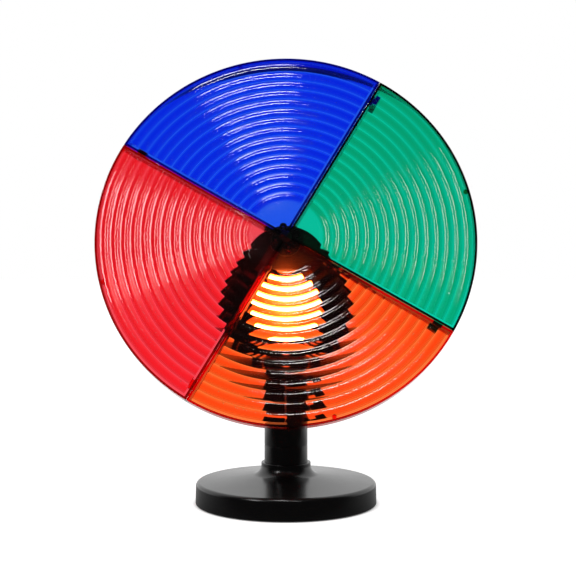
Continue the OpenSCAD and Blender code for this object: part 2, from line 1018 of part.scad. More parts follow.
module stem_tube() {
    color(black) difference() {
        translate([0, 0, collar_seat])
            cylinder(r = stem_r, h = stem_top - collar_seat);
        translate([0, 0, collar_seat - over])
            cylinder(r = stem_r - stem_wall, h = stem_top - collar_seat - stem_wall + over);
        translate([0, 0, collar_seat])
            cylinder(r = stem_bolt_r + part_clear, h = stem_top);
    }
}

module stem_yoke() {
    color(black) difference() {
        union() {
            translate([0, 0, yoke_bottom])
                cylinder(r = stem_r, h = yoke_len);
            translate([0, 0, stem_top])
                cylinder(r = stem_r - groove_deep, h = yoke_len);
            intersection() {
                translate([ear_face, 0, pivot_z])
                    rotate([90, 0, 90])
                        linear_extrude(stem_r - ear_face)
                            union() {
                                circle(knuckle_r);
                                translate([-knuckle_r, shoulder_z - pivot_z - over])
                                    square([2 * knuckle_r, pivot_z - shoulder_z + over]);
                            }
                translate([0, 0, stem_top])
                    cylinder(r = stem_r, h = pivot_z);
            }
        }
        translate([0, 0, stem_top - over])
            cylinder(r = stem_bolt_r, h = stem_bolt_grip + over);
        translate([0, 0, pivot_z])
            rotate([0, 90, 0])
                cylinder(r = tilt_bolt_r + run_clear, h = 2 * stem_r);
    }
}

module stem_bolt() {
    shank_len = stem_top + stem_bolt_grip - part_clear - seat_bottom + washer_t;
    color(steel) translate([0, 0, seat_bottom - washer_t])
        rotate([180, 0, 0]) {
            cylinder(r = stem_bolt_head_r, h = stem_bolt_head_h, $fn = 6);
            translate([0, 0, -shank_len])
                cylinder(r = stem_bolt_r, h = shank_len + over);
        }
}

module stem_washer() {
    color(steel) translate([0, 0, seat_bottom - washer_t])
        difference() {
            cylinder(r = washer_r, h = washer_t);
            translate([0, 0, -over])
                cylinder(r = stem_bolt_r + fit_clear, h = washer_t + 2 * over);
        }
}

// Tilt knuckle

// A ring about the tilt axis
module tilt_ring(from, thickness, outer, inner) {
    translate([from, 0, pivot_z])
        rotate([0, 90, 0])
            difference() {
                cylinder(r = outer, h = thickness);
                translate([0, 0, -over])
                    cylinder(r = inner, h = thickness + 2 * over);
            }
}

module tilt_bolt() {
    head_from = tilt_pocket - tilt_head_h - stem_r;
    color(steel) translate([head_from, 0, pivot_z])
        rotate([0, 90, 0]) {
            cylinder(r = tilt_head_r, h = tilt_head_h, $fn = 6);
            cylinder(r = tilt_bolt_r, h = knob_end - knob_head_t / 2 - head_from);
        }
}

module friction_washer() color([0.45, 0.12, 0.08])
    tilt_ring(-ear_face, friction_t, friction_r, tilt_bolt_r + fit_clear);

module knob_washer() color(steel)
    tilt_ring(stem_r, knob_washer_t, knob_washer_r, tilt_bolt_r + fit_clear);

module tilt_knob() {
    head_from = knob_start + knob_neck_len;
    color(black) translate([0, 0, pivot_z])
        rotate([0, 90, 0])
            difference() {
                union() {
                    translate([0, 0, knob_start])
                        cylinder(r = knob_neck_r, h = knob_neck_len + over);
                    translate([0, 0, head_from])
                        cylinder(r = knob_d / 2, h = knob_head_t);
                }
                translate([0, 0, knob_start - over])
                    cylinder(r = tilt_bolt_r + part_clear, h = knob_end - knob_start - knob_cap);
                translate([0, 0, knob_start - over])
                    cylinder(r = insert_r, h = insert_len + over);
                for (i = [0:knob_flutes - 1])
                    rotate(360 / knob_flutes * i)
                        translate([knob_d / 2 + knob_flute_r / 3, 0, head_from - over])
                            cylinder(r = knob_flute_r, h = knob_head_t + 2 * over);
            }
}

module knob_insert() color(brass)
    tilt_ring(knob_start, insert_len, insert_r, tilt_bolt_r + run_clear);

base_shell();
ballast_plate();
base_cover();
base_screws();
foot_pad();
stem_tube();
stem_yoke();
stem_bolt();
stem_washer();
tilt_bolt();
friction_washer();
knob_washer();
tilt_knob();
knob_insert();
lamp_hood();
rear_cover();
cover_screws();
motor_can();
motor_plate();
motor_screws();
shaft_bush();
lamp_socket();
socket_sleeve();
socket_contact();
socket_screws();
bulb_glass();
bulb_cap();
switch_body();
switch_rocker();
cord_grommet();
lead_wires();
motor_shaft();
wheel_hub();
hub_screws();
sector_green();
sector_blue();
sector_red();
sector_orange();
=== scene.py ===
"""Looks of a table-top colour wheel light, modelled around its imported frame.

Pieces are drawn in millimetres and scaled to metres as they are placed. The head's pieces are drawn in the
wheel's own frame, with X right, Y back from the wheel's face and Z up from its axle. The stand's are drawn
from the foot.
"""

import json
import logging
import math
from collections.abc import Callable, Iterator, Sequence
from contextlib import contextmanager
from dataclasses import dataclass
from enum import Enum
from functools import cache

import bmesh
import bpy
from mathutils import Matrix, Vector


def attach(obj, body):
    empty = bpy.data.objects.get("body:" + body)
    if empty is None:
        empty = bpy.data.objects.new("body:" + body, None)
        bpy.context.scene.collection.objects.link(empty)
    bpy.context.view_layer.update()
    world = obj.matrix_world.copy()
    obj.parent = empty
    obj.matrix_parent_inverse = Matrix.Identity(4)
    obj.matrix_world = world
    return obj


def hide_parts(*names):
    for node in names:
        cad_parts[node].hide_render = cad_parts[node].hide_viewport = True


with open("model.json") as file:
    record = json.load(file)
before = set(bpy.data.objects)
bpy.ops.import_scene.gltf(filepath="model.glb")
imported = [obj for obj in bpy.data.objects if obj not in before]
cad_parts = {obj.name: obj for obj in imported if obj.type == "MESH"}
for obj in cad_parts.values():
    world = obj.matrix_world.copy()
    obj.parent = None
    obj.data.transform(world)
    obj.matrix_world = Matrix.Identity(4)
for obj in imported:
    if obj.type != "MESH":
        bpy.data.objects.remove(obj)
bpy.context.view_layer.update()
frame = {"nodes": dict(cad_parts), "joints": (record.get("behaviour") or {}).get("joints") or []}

LOG = logging.getLogger("colour_wheel_light")
MM = 0.001
# Places closer than this are one, in millimetres
NEAR = 0.001
# How far a tool reaches past the shape that it is cut from or sunk into, in millimetres
OVER = 1.0
ROD_CORNERS = 48

Point = tuple[float, float]
Piece = bpy.types.Object
Material = bpy.types.Material
Nodes = bpy.types.NodeTree
Socket = bpy.types.NodeSocket


def joint(name: str) -> dict:
    """Gives the record of one of the frame's joints by its name."""
    return next(j for j in frame["joints"] if j["name"] == name)


FORWARD = Vector(joint("wheel_spin")["axis"])
TILT = math.atan2(FORWARD.z, -FORWARD.y)
PIVOT_Z = joint("head_tilt")["pos_m"][2] / MM
STAND_PLACE = Matrix.Scale(MM, 4)
HEAD_PLACE = (
    Matrix.Translation(joint("wheel_spin")["pos_m"]) @ Matrix.Rotation(-TILT, 4, "X") @ Matrix.Scale(MM, 4)
)


class Body(Enum):
    """The bodies that pieces ride on."""

    STAND = "stand"
    KNOB = "knob"
    HEAD = "head"
    ROCKER = "rocker"
    WHEEL = "wheel"


class Axis(Enum):
    """The direction that a profile is turned about or an outline is drawn out along."""

    X = (1.0, 0.0, 0.0)
    Y = (0.0, 1.0, 0.0)
    Z = (0.0, 0.0, 1.0)

    def point(self, across: float, up: float, along: float) -> Vector:
        """Gives a point from its place across, up and along this axis.

        Args:
            across: Distance along the outline's first direction.
            up: Distance along the outline's second direction.
            along: Distance along this axis.

        Returns:
            The point in the piece's own frame.
        """
        if self is Axis.X:
            return Vector((along, across, up))
        if self is Axis.Y:
            return Vector((across, along, up))
        return Vector((across, up, along))


class Join(Enum):
    """How a tool's shape is joined to a piece."""

    ADD = "UNION"
    CUT = "DIFFERENCE"
    KEEP = "INTERSECT"


class Part(Enum):
    """The parts of a mesh that are picked."""

    EDGE = "EDGE"
    FACE = "FACE"


# Modelling by hand


def arc(x: float, y: float, radius: float, start: float, end: float, steps: int) -> list[Point]:
    """Gives points along an arc.

    Args:
        x: First coordinate of the centre.
        y: Second coordinate of the centre.
        radius: Radius of the arc.
        start: Angle of the first point in degrees.
        end: Angle of the last point in degrees.
        steps: Number of chords.

    Returns:
        The points, one more than there are chords.
    """
    angles = (math.radians(start + (end - start) * i / steps) for i in range(steps + 1))
    return [(x + radius * math.cos(a), y + radius * math.sin(a)) for a in angles]


def circle(x: float, y: float, radius: float, corners: int) -> list[Point]:
    """Gives points all round a circle, the first on its right."""
    return arc(x, y, radius, 0, 360 - 360 / corners, corners - 1)


def rounded_box(x: float, y: float, width: float, height: float, corner: float) -> list[Point]:
    """Gives the outline of a rectangle with round corners.

    Args:
        x: First coordinate of the middle.
        y: Second coordinate of the middle.
        width: Whole width.
        height: Whole height.
        corner: Radius of the corners.

    Returns:
        The outline's points, anticlockwise.
    """
    right, top = width / 2 - corner, height / 2 - corner
    signs = ((1, 1), (-1, 1), (-1, -1), (1, -1))
    return [
        p
        for i, (sx, sy) in enumerate(signs)
        for p in arc(x + sx * right, y + sy * top, corner, 90 * i, 90 * i + 90, 6)
    ]


def add_object(name: str, data: bpy.types.ID) -> Piece:
    """Adds a camera or a lamp to the scene.

    Args:
        name: The new object's name.
        data: The camera or lamp.

    Returns:
        The new object.
    """
    new = bpy.data.objects.new(name, data)
    bpy.context.scene.collection.objects.link(new)
    return new


def solo(piece: Piece) -> None:
    """Makes one object the only selected and the active one.

    Args:
        piece: The object.
    """
    bpy.ops.object.select_all(action="DESELECT")
    piece.select_set(True)
    bpy.context.view_layer.objects.active = piece


@contextmanager
def editing(piece: Piece) -> Iterator[None]:
    """Opens a piece in edit mode for the length of a with block.

    Args:
        piece: The piece to open.

    Returns:
        The with block's guard.
    """
    solo(piece)
    bpy.ops.object.mode_set(mode="EDIT")
    yield
    bpy.ops.object.mode_set(mode="OBJECT")


def pick(piece: Piece, part: Part, wanted: Callable[[Vector], bool]) -> None:
    """Selects the edges or faces whose every corner is wanted, in edit mode.

    Args:
        piece: The piece that is open in edit mode.
        part: Whether edges or faces are picked.
        wanted: Says whether a corner's place is wanted.
    """
    bpy.ops.mesh.select_mode(type=part.value)
    bpy.ops.mesh.select_all(action="DESELECT")
    mesh = bmesh.from_edit_mesh(piece.data)
    for item in mesh.edges if part is Part.EDGE else mesh.faces:
        item.select_set(all(wanted(v.co) for v in item.verts))
    mesh.select_flush_mode()
    bmesh.update_edit_mesh(piece.data)


def sketch(name: str, points: Sequence[Vector], filled: bool) -> Piece:
    """Draws a line through points by extruding one vertex from each to the next.

    Args:
        name: The new object's name.
        points: Where the line goes, in millimetres.
        filled: Whether the line is closed and filled with one face.

    Returns:
        The new object, selected and active.
    """
    bpy.ops.object.select_all(action="DESELECT")
    bpy.ops.mesh.primitive_plane_add(size=1.0, location=(0.0, 0.0, 0.0))
    piece = bpy.context.object
    piece.name = piece.data.name = name
    with editing(piece):
        bpy.ops.mesh.select_mode(type="VERT")
        bpy.ops.mesh.select_all(action="SELECT")
        bpy.ops.mesh.merge(type="CENTER")
        bpy.ops.transform.translate(value=points[0])
        for before, after in zip(points, points[1:]):
            bpy.ops.mesh.extrude_region_move(TRANSFORM_OT_translate={"value": after - before})
        if filled:
            bpy.ops.mesh.select_all(action="SELECT")
            bpy.ops.mesh.edge_face_add()
    return piece


def tidy_faces() -> None:
    """Merges doubled corners of the open mesh and turns its faces outwards."""
    bpy.ops.mesh.select_all(action="SELECT")
    bpy.ops.mesh.remove_doubles(threshold=NEAR)
    bpy.ops.mesh.normals_make_consistent(inside=False)


def slice_off(at: Vector, stays: Vector) -> None:
    """Cuts off what lies behind a plane from the open mesh, and closes it there."""
    bpy.ops.mesh.select_all(action="SELECT")
    bpy.ops.mesh.bisect(plane_co=at, plane_no=stays, use_fill=True, clear_inner=True)


def lathe(
    name: str, profile: Sequence[Point], axis: Axis, steps: int = 96, degrees: float = 360.0
) -> Piece:
    """Turns a profile about an axis through the origin.

    Args:
        name: The new object's name.
        profile: Pairs of radius and place along the axis.
        axis: The axis that the profile is turned about.
        steps: Number of steps in the turn.
        degrees: How far the profile is turned.

    Returns:
        The new object.
    """
    piece = sketch(name, [axis.point(r, 0.0, t) for r, t in profile], filled=False)
    with editing(piece):
        bpy.ops.mesh.select_all(action="SELECT")
        bpy.ops.mesh.spin(steps=steps, angle=math.radians(degrees), center=(0.0, 0.0, 0.0), axis=axis.value)
        tidy_faces()
    return piece


def prism(name: str, outline: Sequence[Point], axis: Axis, start: float, end: float) -> Piece:
    """Draws an outline out along an axis.

    Args:
        name: The new object's name.
        outline: The outline's points across and up.
        axis: The axis that the outline is drawn out along.
        start: Where the prism starts along the axis.
        end: Where the prism ends along the axis.

    Returns:
        The new object.
    """
    piece = sketch(name, [axis.point(a, b, start) for a, b in outline], filled=True)
    with editing(piece):
        bpy.ops.mesh.select_all(action="SELECT")
        travel = (end - start) * Vector(axis.value)
        bpy.ops.mesh.extrude_region_move(TRANSFORM_OT_translate={"value": travel})
        tidy_faces()
    return piece


def rod(axis: Axis, across: float, up: float, radius: float, start: float, end: float) -> Piece:
    """Draws a plain round rod, as a tool to join to a piece or cut from it."""
    return prism("rod", circle(across, up, radius, ROD_CORNERS), axis, start, end)


def join(piece: Piece, tool: Piece, how: Join) -> Piece:
    """Joins a tool's shape to a piece, or cuts it away, and deletes the tool.

    Args:
        piece: The piece that is changed.
        tool: The other shape.
        how: Whether the tool is added, cut away or kept in common.

    Returns:
        The piece.
    """
    solo(piece)
    step = piece.modifiers.new(how.name, "BOOLEAN")
    step.operation = how.value
    step.object = tool
    step.solver = "MANIFOLD"
    bpy.ops.object.modifier_apply(modifier=step.name)
    bpy.data.meshes.remove(tool.data)
    return piece


def round_edges(piece: Piece, width: float, wanted: Callable[[Vector], bool]) -> None:
    """Rounds the edges whose two ends are wanted.

    Args:
        piece: The piece that is changed.
        width: Width of the rounding.
        wanted: Says whether an end's place is wanted.
    """
    with editing(piece):
        pick(piece, Part.EDGE, wanted)
        bpy.ops.mesh.bevel(offset=width, segments=3, affect="EDGES")


def clean(piece: Piece) -> Piece:
    """Clears a piece of the slivers that cuts have left.

    Args:
        piece: The piece that is changed.

    Returns:
        The piece.
    """
    with editing(piece):
        tidy_faces()
    return piece


def lower(piece: Piece, drop: float) -> Piece:
    """Moves a piece straight down.

    Args:
        piece: The piece that is moved.
        drop: How far it is moved.

    Returns:
        The piece.
    """
    piece.location.z = -drop
    solo(piece)
    bpy.ops.object.transform_apply(location=True)
    return piece


def copy_of(piece: Piece, name: str) -> Piece:
    """Copies a piece with a mesh of its own.

    Args:
        piece: The piece to copy.
        name: The copy's name.

    Returns:
        The copy.
    """
    solo(piece)
    bpy.ops.object.duplicate(linked=False)
    copy = bpy.context.object
    copy.name = copy.data.name = name
    return copy


def place(piece: Piece, where: Matrix, sharp_from: float = 30.0) -> None:
    """Carries a piece from its own millimetres to its place in the frame and smooths its gentle edges.

    Args:
        piece: The piece to place.
        where: The place, with the scale to metres.
        sharp_from: Edges of at least this many degrees stay sharp.
    """
    solo(piece)
    piece.matrix_world = where
    bpy.ops.object.transform_apply(location=True, rotation=True, scale=True)
    bpy.ops.object.shade_smooth_by_angle(angle=math.radians(sharp_from))


# Finishes


WHITE = (1.0, 1.0, 1.0, 1.0)


def linear(colour: str) -> tuple[float, float, float, float]:
    """Turns an sRGB hex colour into linear light.

    Args:
        colour: Six hex digits after a hash sign.

    Returns:
        Linear red, green and blue, and an alpha of 1.
    """
    shares = (int(colour[i : i + 2], 16) / 255 for i in (1, 3, 5))
    lit = [s / 12.92 if s <= 0.04045 else ((s + 0.055) / 1.055) ** 2.4 for s in shares]
    return lit[0], lit[1], lit[2], 1.0


def per_metre(size: float) -> float:
    """Gives a texture's scale for a pattern of a size in millimetres."""
    return 1.0 / (size * MM)


def node(
    tree: Nodes, kind: str, inputs: dict[str | int, object] | None = None, **settings: object
) -> bpy.types.Node:
    """Adds a shader node, with its settings and links.

    Args:
        tree: The material's or the world's nodes.
        kind: The node's type.
        inputs: A value, or an output to link, for each named or numbered input.
        settings: The node's own settings.

    Returns:
        The new node.
    """
    new = tree.nodes.new(kind)
    for name, value in settings.items():
        setattr(new, name, value)
    for name, value in (inputs or {}).items():
        if isinstance(value, Socket):
            tree.links.new(value, new.inputs[name])
        else:
            new.inputs[name].default_value = value
    return new


def bare_material(name: str) -> tuple[Material, Nodes]:
    """Makes a material with no nodes yet.

    Args:
        name: The material's name.

    Returns:
        The material and its nodes.
    """
    material = bpy.data.materials.new(name)
    material.use_nodes = True
    material.node_tree.nodes.clear()
    return material, material.node_tree


@dataclass(frozen=True)
class Moulded:
    """A moulded, cast, drawn, glazed or plated surface with a fine grain and faint patches.

    Attributes:
        name: Common name of the material.
        colour: Colour of the body.
        patch: Colour of faint patches on it.
        roughness: Roughness where it is glossiest and where it is dullest.
        grain: Size of the grain in millimetres.
        relief: Height of the grain in millimetres.
        ior: Refractive index.
        metallic: 1 for a metal, else 0.
        stretch: How much finer the grain is along each direction.
    """

    name: str
    colour: str
    patch: str
    roughness: tuple[float, float]
    grain: float
    relief: float
    ior: float = 1.54
    metallic: float = 0.0
    stretch: tuple[float, float, float] = (1.0, 1.0, 1.0)

    PATCH_SIZE = 14.0
    PATCH_DETAIL = 3.0
    GRAIN_DETAIL = 2.0

    @cache
    def material(self) -> Material:
        """Builds the material once.

        Returns:
            The material.
        """
        material, tree = bare_material(self.name)
        where = node(tree, "ShaderNodeTexCoord").outputs["Object"]
        spots = {"Vector": where, "Scale": per_metre(self.PATCH_SIZE), "Detail": self.PATCH_DETAIL}
        patches = node(tree, "ShaderNodeTexNoise", spots).outputs["Fac"]
        along = node(tree, "ShaderNodeMapping", {"Vector": where, "Scale": self.stretch}).outputs["Vector"]
        specks = {"Vector": along, "Scale": per_metre(self.grain), "Detail": self.GRAIN_DETAIL}
        grain = node(tree, "ShaderNodeTexNoise", specks).outputs["Fac"]
        tones = {0: patches, 6: linear(self.colour), 7: linear(self.patch)}
        gloss = {"Value": patches, "To Min": self.roughness[0], "To Max": self.roughness[1]}
        relief = {"Height": grain, "Strength": 1.0, "Distance": self.relief * MM}
        skin = {
            "Base Color": node(tree, "ShaderNodeMix", tones, data_type="RGBA").outputs[2],
            "Roughness": node(tree, "ShaderNodeMapRange", gloss).outputs["Result"],
            "Normal": node(tree, "ShaderNodeBump", relief).outputs["Normal"],
            "Metallic": self.metallic,
            "IOR": self.ior,
        }
        shader = node(tree, "ShaderNodeBsdfPrincipled", skin)
        node(tree, "ShaderNodeOutputMaterial", {"Surface": shader.outputs["BSDF"]})
        return material


@dataclass(frozen=True)
class TintedClear:
    """Clear plastic with a dye all through it, so that thick places and walls seen edge on are deeper.

    Attributes:
        name: Common name of the material.
        tint: What white becomes behind a flat sheet of it.
        sheet: Thickness of that sheet in millimetres.
        ior: Refractive index.
        roughness: Roughness of its polished skin.
        wave: Length of the faint waves that the mould leaves, in millimetres.
        relief: Height of those waves in millimetres.
    """

    name: str
    tint: str
    sheet: float = 1.2
    ior: float = 1.57
    roughness: float = 0.05
    wave: float = 22.0
    relief: float = 0.0003

    # The least share of a colour that passes, so that no dye is endlessly dense
    LEAST = 0.0006
    WAVE_DETAIL = 1.0

    def absorption(self) -> tuple[float, tuple[float, float, float, float]]:
        """Works out the dye from the tint.

        Returns:
            The volume's density per metre and its colour.
        """
        skin = ((self.ior - 1) / (self.ior + 1)) ** 2
        passed = [max(share / (1 - skin) ** 2, self.LEAST) for share in linear(self.tint)[:3]]
        dye = [max(-math.log(share), 0.0) / (self.sheet * MM) for share in passed]
        density = max(dye)
        return density, tuple(1 - d / density for d in dye) + (1.0,)

    @cache
    def material(self) -> Material:
        """Builds the material once.

        Returns:
            The material.
        """
        material, tree = bare_material(self.name)
        density, colour = self.absorption()
        where = node(tree, "ShaderNodeTexCoord").outputs["Object"]
        pattern = {"Vector": where, "Scale": per_metre(self.wave), "Detail": self.WAVE_DETAIL}
        waves = node(tree, "ShaderNodeTexNoise", pattern).outputs["Fac"]
        relief = {"Height": waves, "Strength": 1.0, "Distance": self.relief * MM}
        skin = {
            "Base Color": WHITE,
            "Roughness": self.roughness,
            "IOR": self.ior,
            "Transmission Weight": 1.0,
            "Normal": node(tree, "ShaderNodeBump", relief).outputs["Normal"],
        }
        shader = node(tree, "ShaderNodeBsdfPrincipled", skin)
        dye = node(tree, "ShaderNodeVolumeAbsorption", {"Color": colour, "Density": density})
        ends = {"Surface": shader.outputs["BSDF"], "Volume": dye.outputs["Volume"]}
        node(tree, "ShaderNodeOutputMaterial", ends)
        return material


@dataclass(frozen=True)
class LitGlass:
    """Lightly frosted glass of a lit lamp, which glows most where the filament lies behind it.

    Attributes:
        name: Common name of the material.
        colour: Tint of the glass.
        glow: Colour of its glow.
        strength: Strength of its glow there and far from it.
        middle: The place where it glows most.
        reach: How far from there the glow has fallen to its least, in millimetres.
        roughness: Roughness of the frosting.
        ior: Refractive index.
    """

    name: str
    colour: str
    glow: str
    strength: tuple[float, float]
    middle: tuple[float, float, float]
    reach: float
    roughness: float = 0.08
    ior: float = 1.5

    @cache
    def material(self) -> Material:
        """Builds the material once.

        Returns:
            The material.
        """
        material, tree = bare_material(self.name)
        ends = {0: node(tree, "ShaderNodeTexCoord").outputs["Object"], 1: self.middle}
        apart = node(tree, "ShaderNodeVectorMath", ends, operation="DISTANCE").outputs["Value"]
        most, least = self.strength
        fall = {"Value": apart, "From Max": self.reach * MM, "To Min": most, "To Max": least}
        strength = node(tree, "ShaderNodeMapRange", fall, interpolation_type="SMOOTHSTEP")
        skin = {
            "Base Color": linear(self.colour),
            "Roughness": self.roughness,
            "IOR": self.ior,
            "Transmission Weight": 1.0,
            "Emission Color": linear(self.glow),
            "Emission Strength": strength.outputs["Result"],
        }
        shader = node(tree, "ShaderNodeBsdfPrincipled", skin)
        node(tree, "ShaderNodeOutputMaterial", {"Surface": shader.outputs["BSDF"]})
        return material


# The skin's own default
METAL_IOR = 1.5
# The grain of drawn and turned metal is ten times as long along Y as across
DRAWN = (1.0, 0.1, 1.0)
# Black ABS from a satin mould: near black, with soft reflections and a grain drawn coarse enough to show
BLACK_ABS = Moulded("black ABS, satin moulded", "#070607", "#0a090a", (0.2, 0.26), 0.6, 0.002)
# The same plastic from a duller mould, for parts that are handled
KNOB_ABS = Moulded("black ABS, fine spark texture", "#0b0b0c", "#121213", (0.38, 0.5), 0.5, 0.01)
# Nylon takes a duller skin than ABS
BLACK_NYLON = Moulded("black nylon, moulded", "#060606", "#090909", (0.5, 0.62), 0.5, 0.01)
# Rubber is greyer and dull all over
RUBBER = Moulded("black rubber, moulded", "#161617", "#1d1d1e", (0.7, 0.85), 0.8, 0.03, 1.52)
# Glossy red rocker of a mains switch
RED_ABS = Moulded("red ABS, gloss moulded", "#b80d12", "#a80b10", (0.16, 0.22), 1.0, 0.002)
# Pressed red fibre: dull, with a paper grain
FIBRE = Moulded("red vulcanised fibre", "#6e2018", "#581812", (0.6, 0.75), 0.7, 0.02, 1.5)
# Glazed steatite: white and glossy, faintly warm
CERAMIC = Moulded("glazed white steatite", "#ece7da", "#e4dece", (0.1, 0.18), 3.0, 0.01, 1.56)
# Soft PVC on the leads: blue, between gloss and satin
PVC = Moulded("blue PVC insulation", "#2b3488", "#252d78", (0.35, 0.45), 1.0, 0.005, 1.53)
# Bright zinc on screws and bolts, with a faint blue cast
ZINC = Moulded("zinc plated steel", "#c3c6cb", "#a9adb4", (0.24, 0.4), 0.8, 0.004, METAL_IOR, 1.0)
# Drawn steel: fine lines along the draw
STEEL = Moulded("drawn steel", "#b9bbbf", "#a4a6aa", (0.25, 0.38), 0.9, 0.004, METAL_IOR, 1.0, DRAWN)
# Turned brass: warm yellow, with fine lines from the tool
BRASS = Moulded("turned brass", "#d0aa5a", "#b98f42", (0.2, 0.34), 0.7, 0.004, METAL_IOR, 1.0, DRAWN)
# Pressed aluminium: a dull silver
ALUMINIUM = Moulded("pressed aluminium", "#c9cacc", "#b5b6b8", (0.28, 0.42), 1.2, 0.006, METAL_IOR, 1.0)
# Sand-cast iron: rough and dark
IRON = Moulded("cast iron", "#3d3d40", "#2c2c2f", (0.55, 0.8), 2.5, 0.15, METAL_IOR, 1.0)
# Aluminised glass: a silver mirror, slightly hazy
SILVERED = Moulded("aluminised glass", "#dcdcda", "#d2d2d0", (0.12, 0.2), 4.0, 0.004, METAL_IOR, 1.0)

Look = Moulded | TintedClear | LitGlass


class Tray(Enum):
    """The trays, by their quarter turns anticlockwise from the first seam, with the dye of each."""

    # Clear polystyrene, each in its own dye, through which the white behind it shows in that colour
    BLUE = (0, TintedClear("blue polystyrene, clear", "#1e54e6"))
    RED = (1, TintedClear("red polystyrene, clear", "#ea4450"))
    ORANGE = (2, TintedClear("orange polystyrene, clear", "#f17035"))
    GREEN = (3, TintedClear("green polystyrene, clear", "#04bc9a"))


def wear(piece: Piece, look: Look) -> None:
    """Gives a piece one finish in place of any that it has."""
    piece.data.materials.clear()
    piece.data.materials.append(look.material())


def finish(piece: Piece, body: Body, look: Look, node_name: str) -> None:
    """Dresses a piece and ties it to the frame.

    Args:
        piece: The finished piece, in place.
        body: The body that it rides on.
        look: What it is dressed in.
        node_name: The node that it stands for.
    """
    wear(piece, look)
    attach(piece, body.value)
    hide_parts(node_name)
    LOG.info("%s: %d faces in %s", piece.name, len(piece.data.polygons), look.name)


# The wheel


@dataclass
class ColourWheel:
    """Four ribbed trays of tinted plastic on the motor's hub, in millimetres."""

    radius: float = 165.0
    depth: float = 15.0
    face: float = 1.2
    wall: float = 2.0
    half_gap: float = 0.25
    seam_angle: float = 59.5
    rib_pitch: float = 8.65
    rib_height: float = 0.75
    rib_count: int = 15
    rib_lift: float = 0.02
    rib_sink: float = 0.3
    rib_steps: int = 12
    turn_steps: int = 90
    rim_border: float = 3.7
    seam_border: float = 3.5
    tip_round: float = 7.0
    edge_round: float = 0.5
    sharp_from: float = 12.0
    hub_bore: float = 5.4
    boss_ring: float = 9.2
    boss_radius: float = 3.2
    screw_radius: float = 1.25
    screw_length: float = 9.0
    nub_radius: float = 2.0
    nub_height: float = 3.0
    nub_sink: float = 0.3
    hook_from_rim: float = 15.0
    hook_width: float = 8.5
    hook_thick: float = 2.0
    hook_lip: float = 3.5
    hook_grip: float = 4.0
    hook_clear: float = 0.3
    hook_root: float = 1.0
    hook_inset: float = 0.05

    def ribs(self) -> Piece:
        """Turns the sheet of round ribs that covers a quarter of the face, cut back to the borders.

        Returns:
            The ribbed sheet, closed.
        """
        outer = self.radius - self.rim_border
        inner = outer - self.rib_count * self.rib_pitch
        half = self.rib_pitch / 2
        bend = (half**2 + self.rib_height**2) / (2 * self.rib_height)
        lean = math.degrees(math.asin(half / bend))
        centre = bend - self.rib_height - self.rib_lift
        profile = [(inner, self.rib_sink)]
        for i in range(self.rib_count):
            middle = inner + (i + 0.5) * self.rib_pitch
            rib = arc(middle, centre, bend, 270 - lean, 270 + lean, self.rib_steps)
            profile += rib[1:] if i else rib
        profile += [(outer, self.rib_sink), (inner, self.rib_sink)]
        sheet = lathe("ribs", profile, Axis.Y, self.turn_steps, 90.0)
        edge = self.half_gap + self.seam_border
        with editing(sheet):
            for stays in (Vector((1, 0, 0)), Vector((0, 0, 1))):
                slice_off(edge * stays, stays)
            tidy_faces()
        return sheet

    def quarter(self, edge: float, radius: float, tip: float) -> list[Point]:
        """Gives a quarter of a disc, held off from its two straight sides.

        Args:
            edge: Distance from the wheel's axle to the straight sides.
            radius: Radius of the rim.
            tip: Radius of the corner between the straight sides, or 0.

        Returns:
            The outline's points.
        """
        lean = math.degrees(math.asin(edge / radius))
        corner = arc(edge + tip, edge + tip, tip, 270, 180, 8) if tip else [(edge, edge)]
        return arc(0, 0, radius, 90 - lean, lean, self.turn_steps) + corner

    def hook(self) -> Piece:
        """Draws the hook that laps round the next tray's wall.

        Returns:
            The hook.
        """
        seat = self.depth + self.hook_clear
        back = seat + self.hook_thick
        root, grip = self.depth - self.hook_root, self.depth - self.hook_grip
        inner, outer = self.half_gap + self.wall - self.hook_inset, self.half_gap + self.hook_inset
        near = -(self.half_gap + self.wall + self.hook_clear)
        far = near - self.hook_lip
        outline = [(root, inner), (back, inner), (back, far), (grip, far)]
        outline += [(grip, near), (seat, near), (seat, outer), (root, outer)]
        middle = self.radius - self.hook_from_rim
        return prism("hook", outline, Axis.X, middle - self.hook_width / 2, middle + self.hook_width / 2)

    def tray(self) -> Piece:
        """Builds the tray of the first quarter, from its straight sides to its rim.

        Returns:
            The tray, closed, in the wheel's frame.
        """
        diagonal = math.sqrt(0.5)
        boss = self.boss_ring * diagonal
        nub = (self.radius - self.wall - self.nub_radius + self.nub_sink) * diagonal
        root, end = self.face / 2, self.depth + OVER
        tray = prism("tray", self.quarter(self.half_gap, self.radius, 0), Axis.Y, 0, self.depth)
        round_edges(tray, self.edge_round, lambda p: abs(p.y) < NEAR)
        recess = self.quarter(self.half_gap + self.wall, self.radius - self.wall, self.tip_round)
        join(tray, prism("recess", recess, Axis.Y, self.face, end), Join.CUT)
        join(tray, self.ribs(), Join.ADD)
        join(tray, rod(Axis.Y, boss, boss, self.boss_radius, root, self.depth), Join.ADD)
        join(tray, rod(Axis.Y, nub, nub, self.nub_radius, root, self.face + self.nub_height), Join.ADD)
        join(tray, self.hook(), Join.ADD)
        join(tray, rod(Axis.Y, 0, 0, self.hub_bore, self.face, end), Join.CUT)
        bore = rod(Axis.Y, boss, boss, self.screw_radius, self.depth - self.screw_length, end)
        return join(tray, bore, Join.CUT)

    def build(self) -> None:
        """Builds one tray and copies it round the hub, in each colour."""
        tray = self.tray()
        for colour in Tray:
            quarter, tint = colour.value
            name = colour.name.lower()
            piece = copy_of(tray, f"{name}_tray")
            turn = Matrix.Rotation(-math.radians(self.seam_angle + 90 * quarter), 4, "Y")
            place(piece, HEAD_PLACE @ turn, self.sharp_from)
            finish(piece, Body.WHEEL, tint, f"sector_{name}")
        bpy.data.meshes.remove(tray.data)


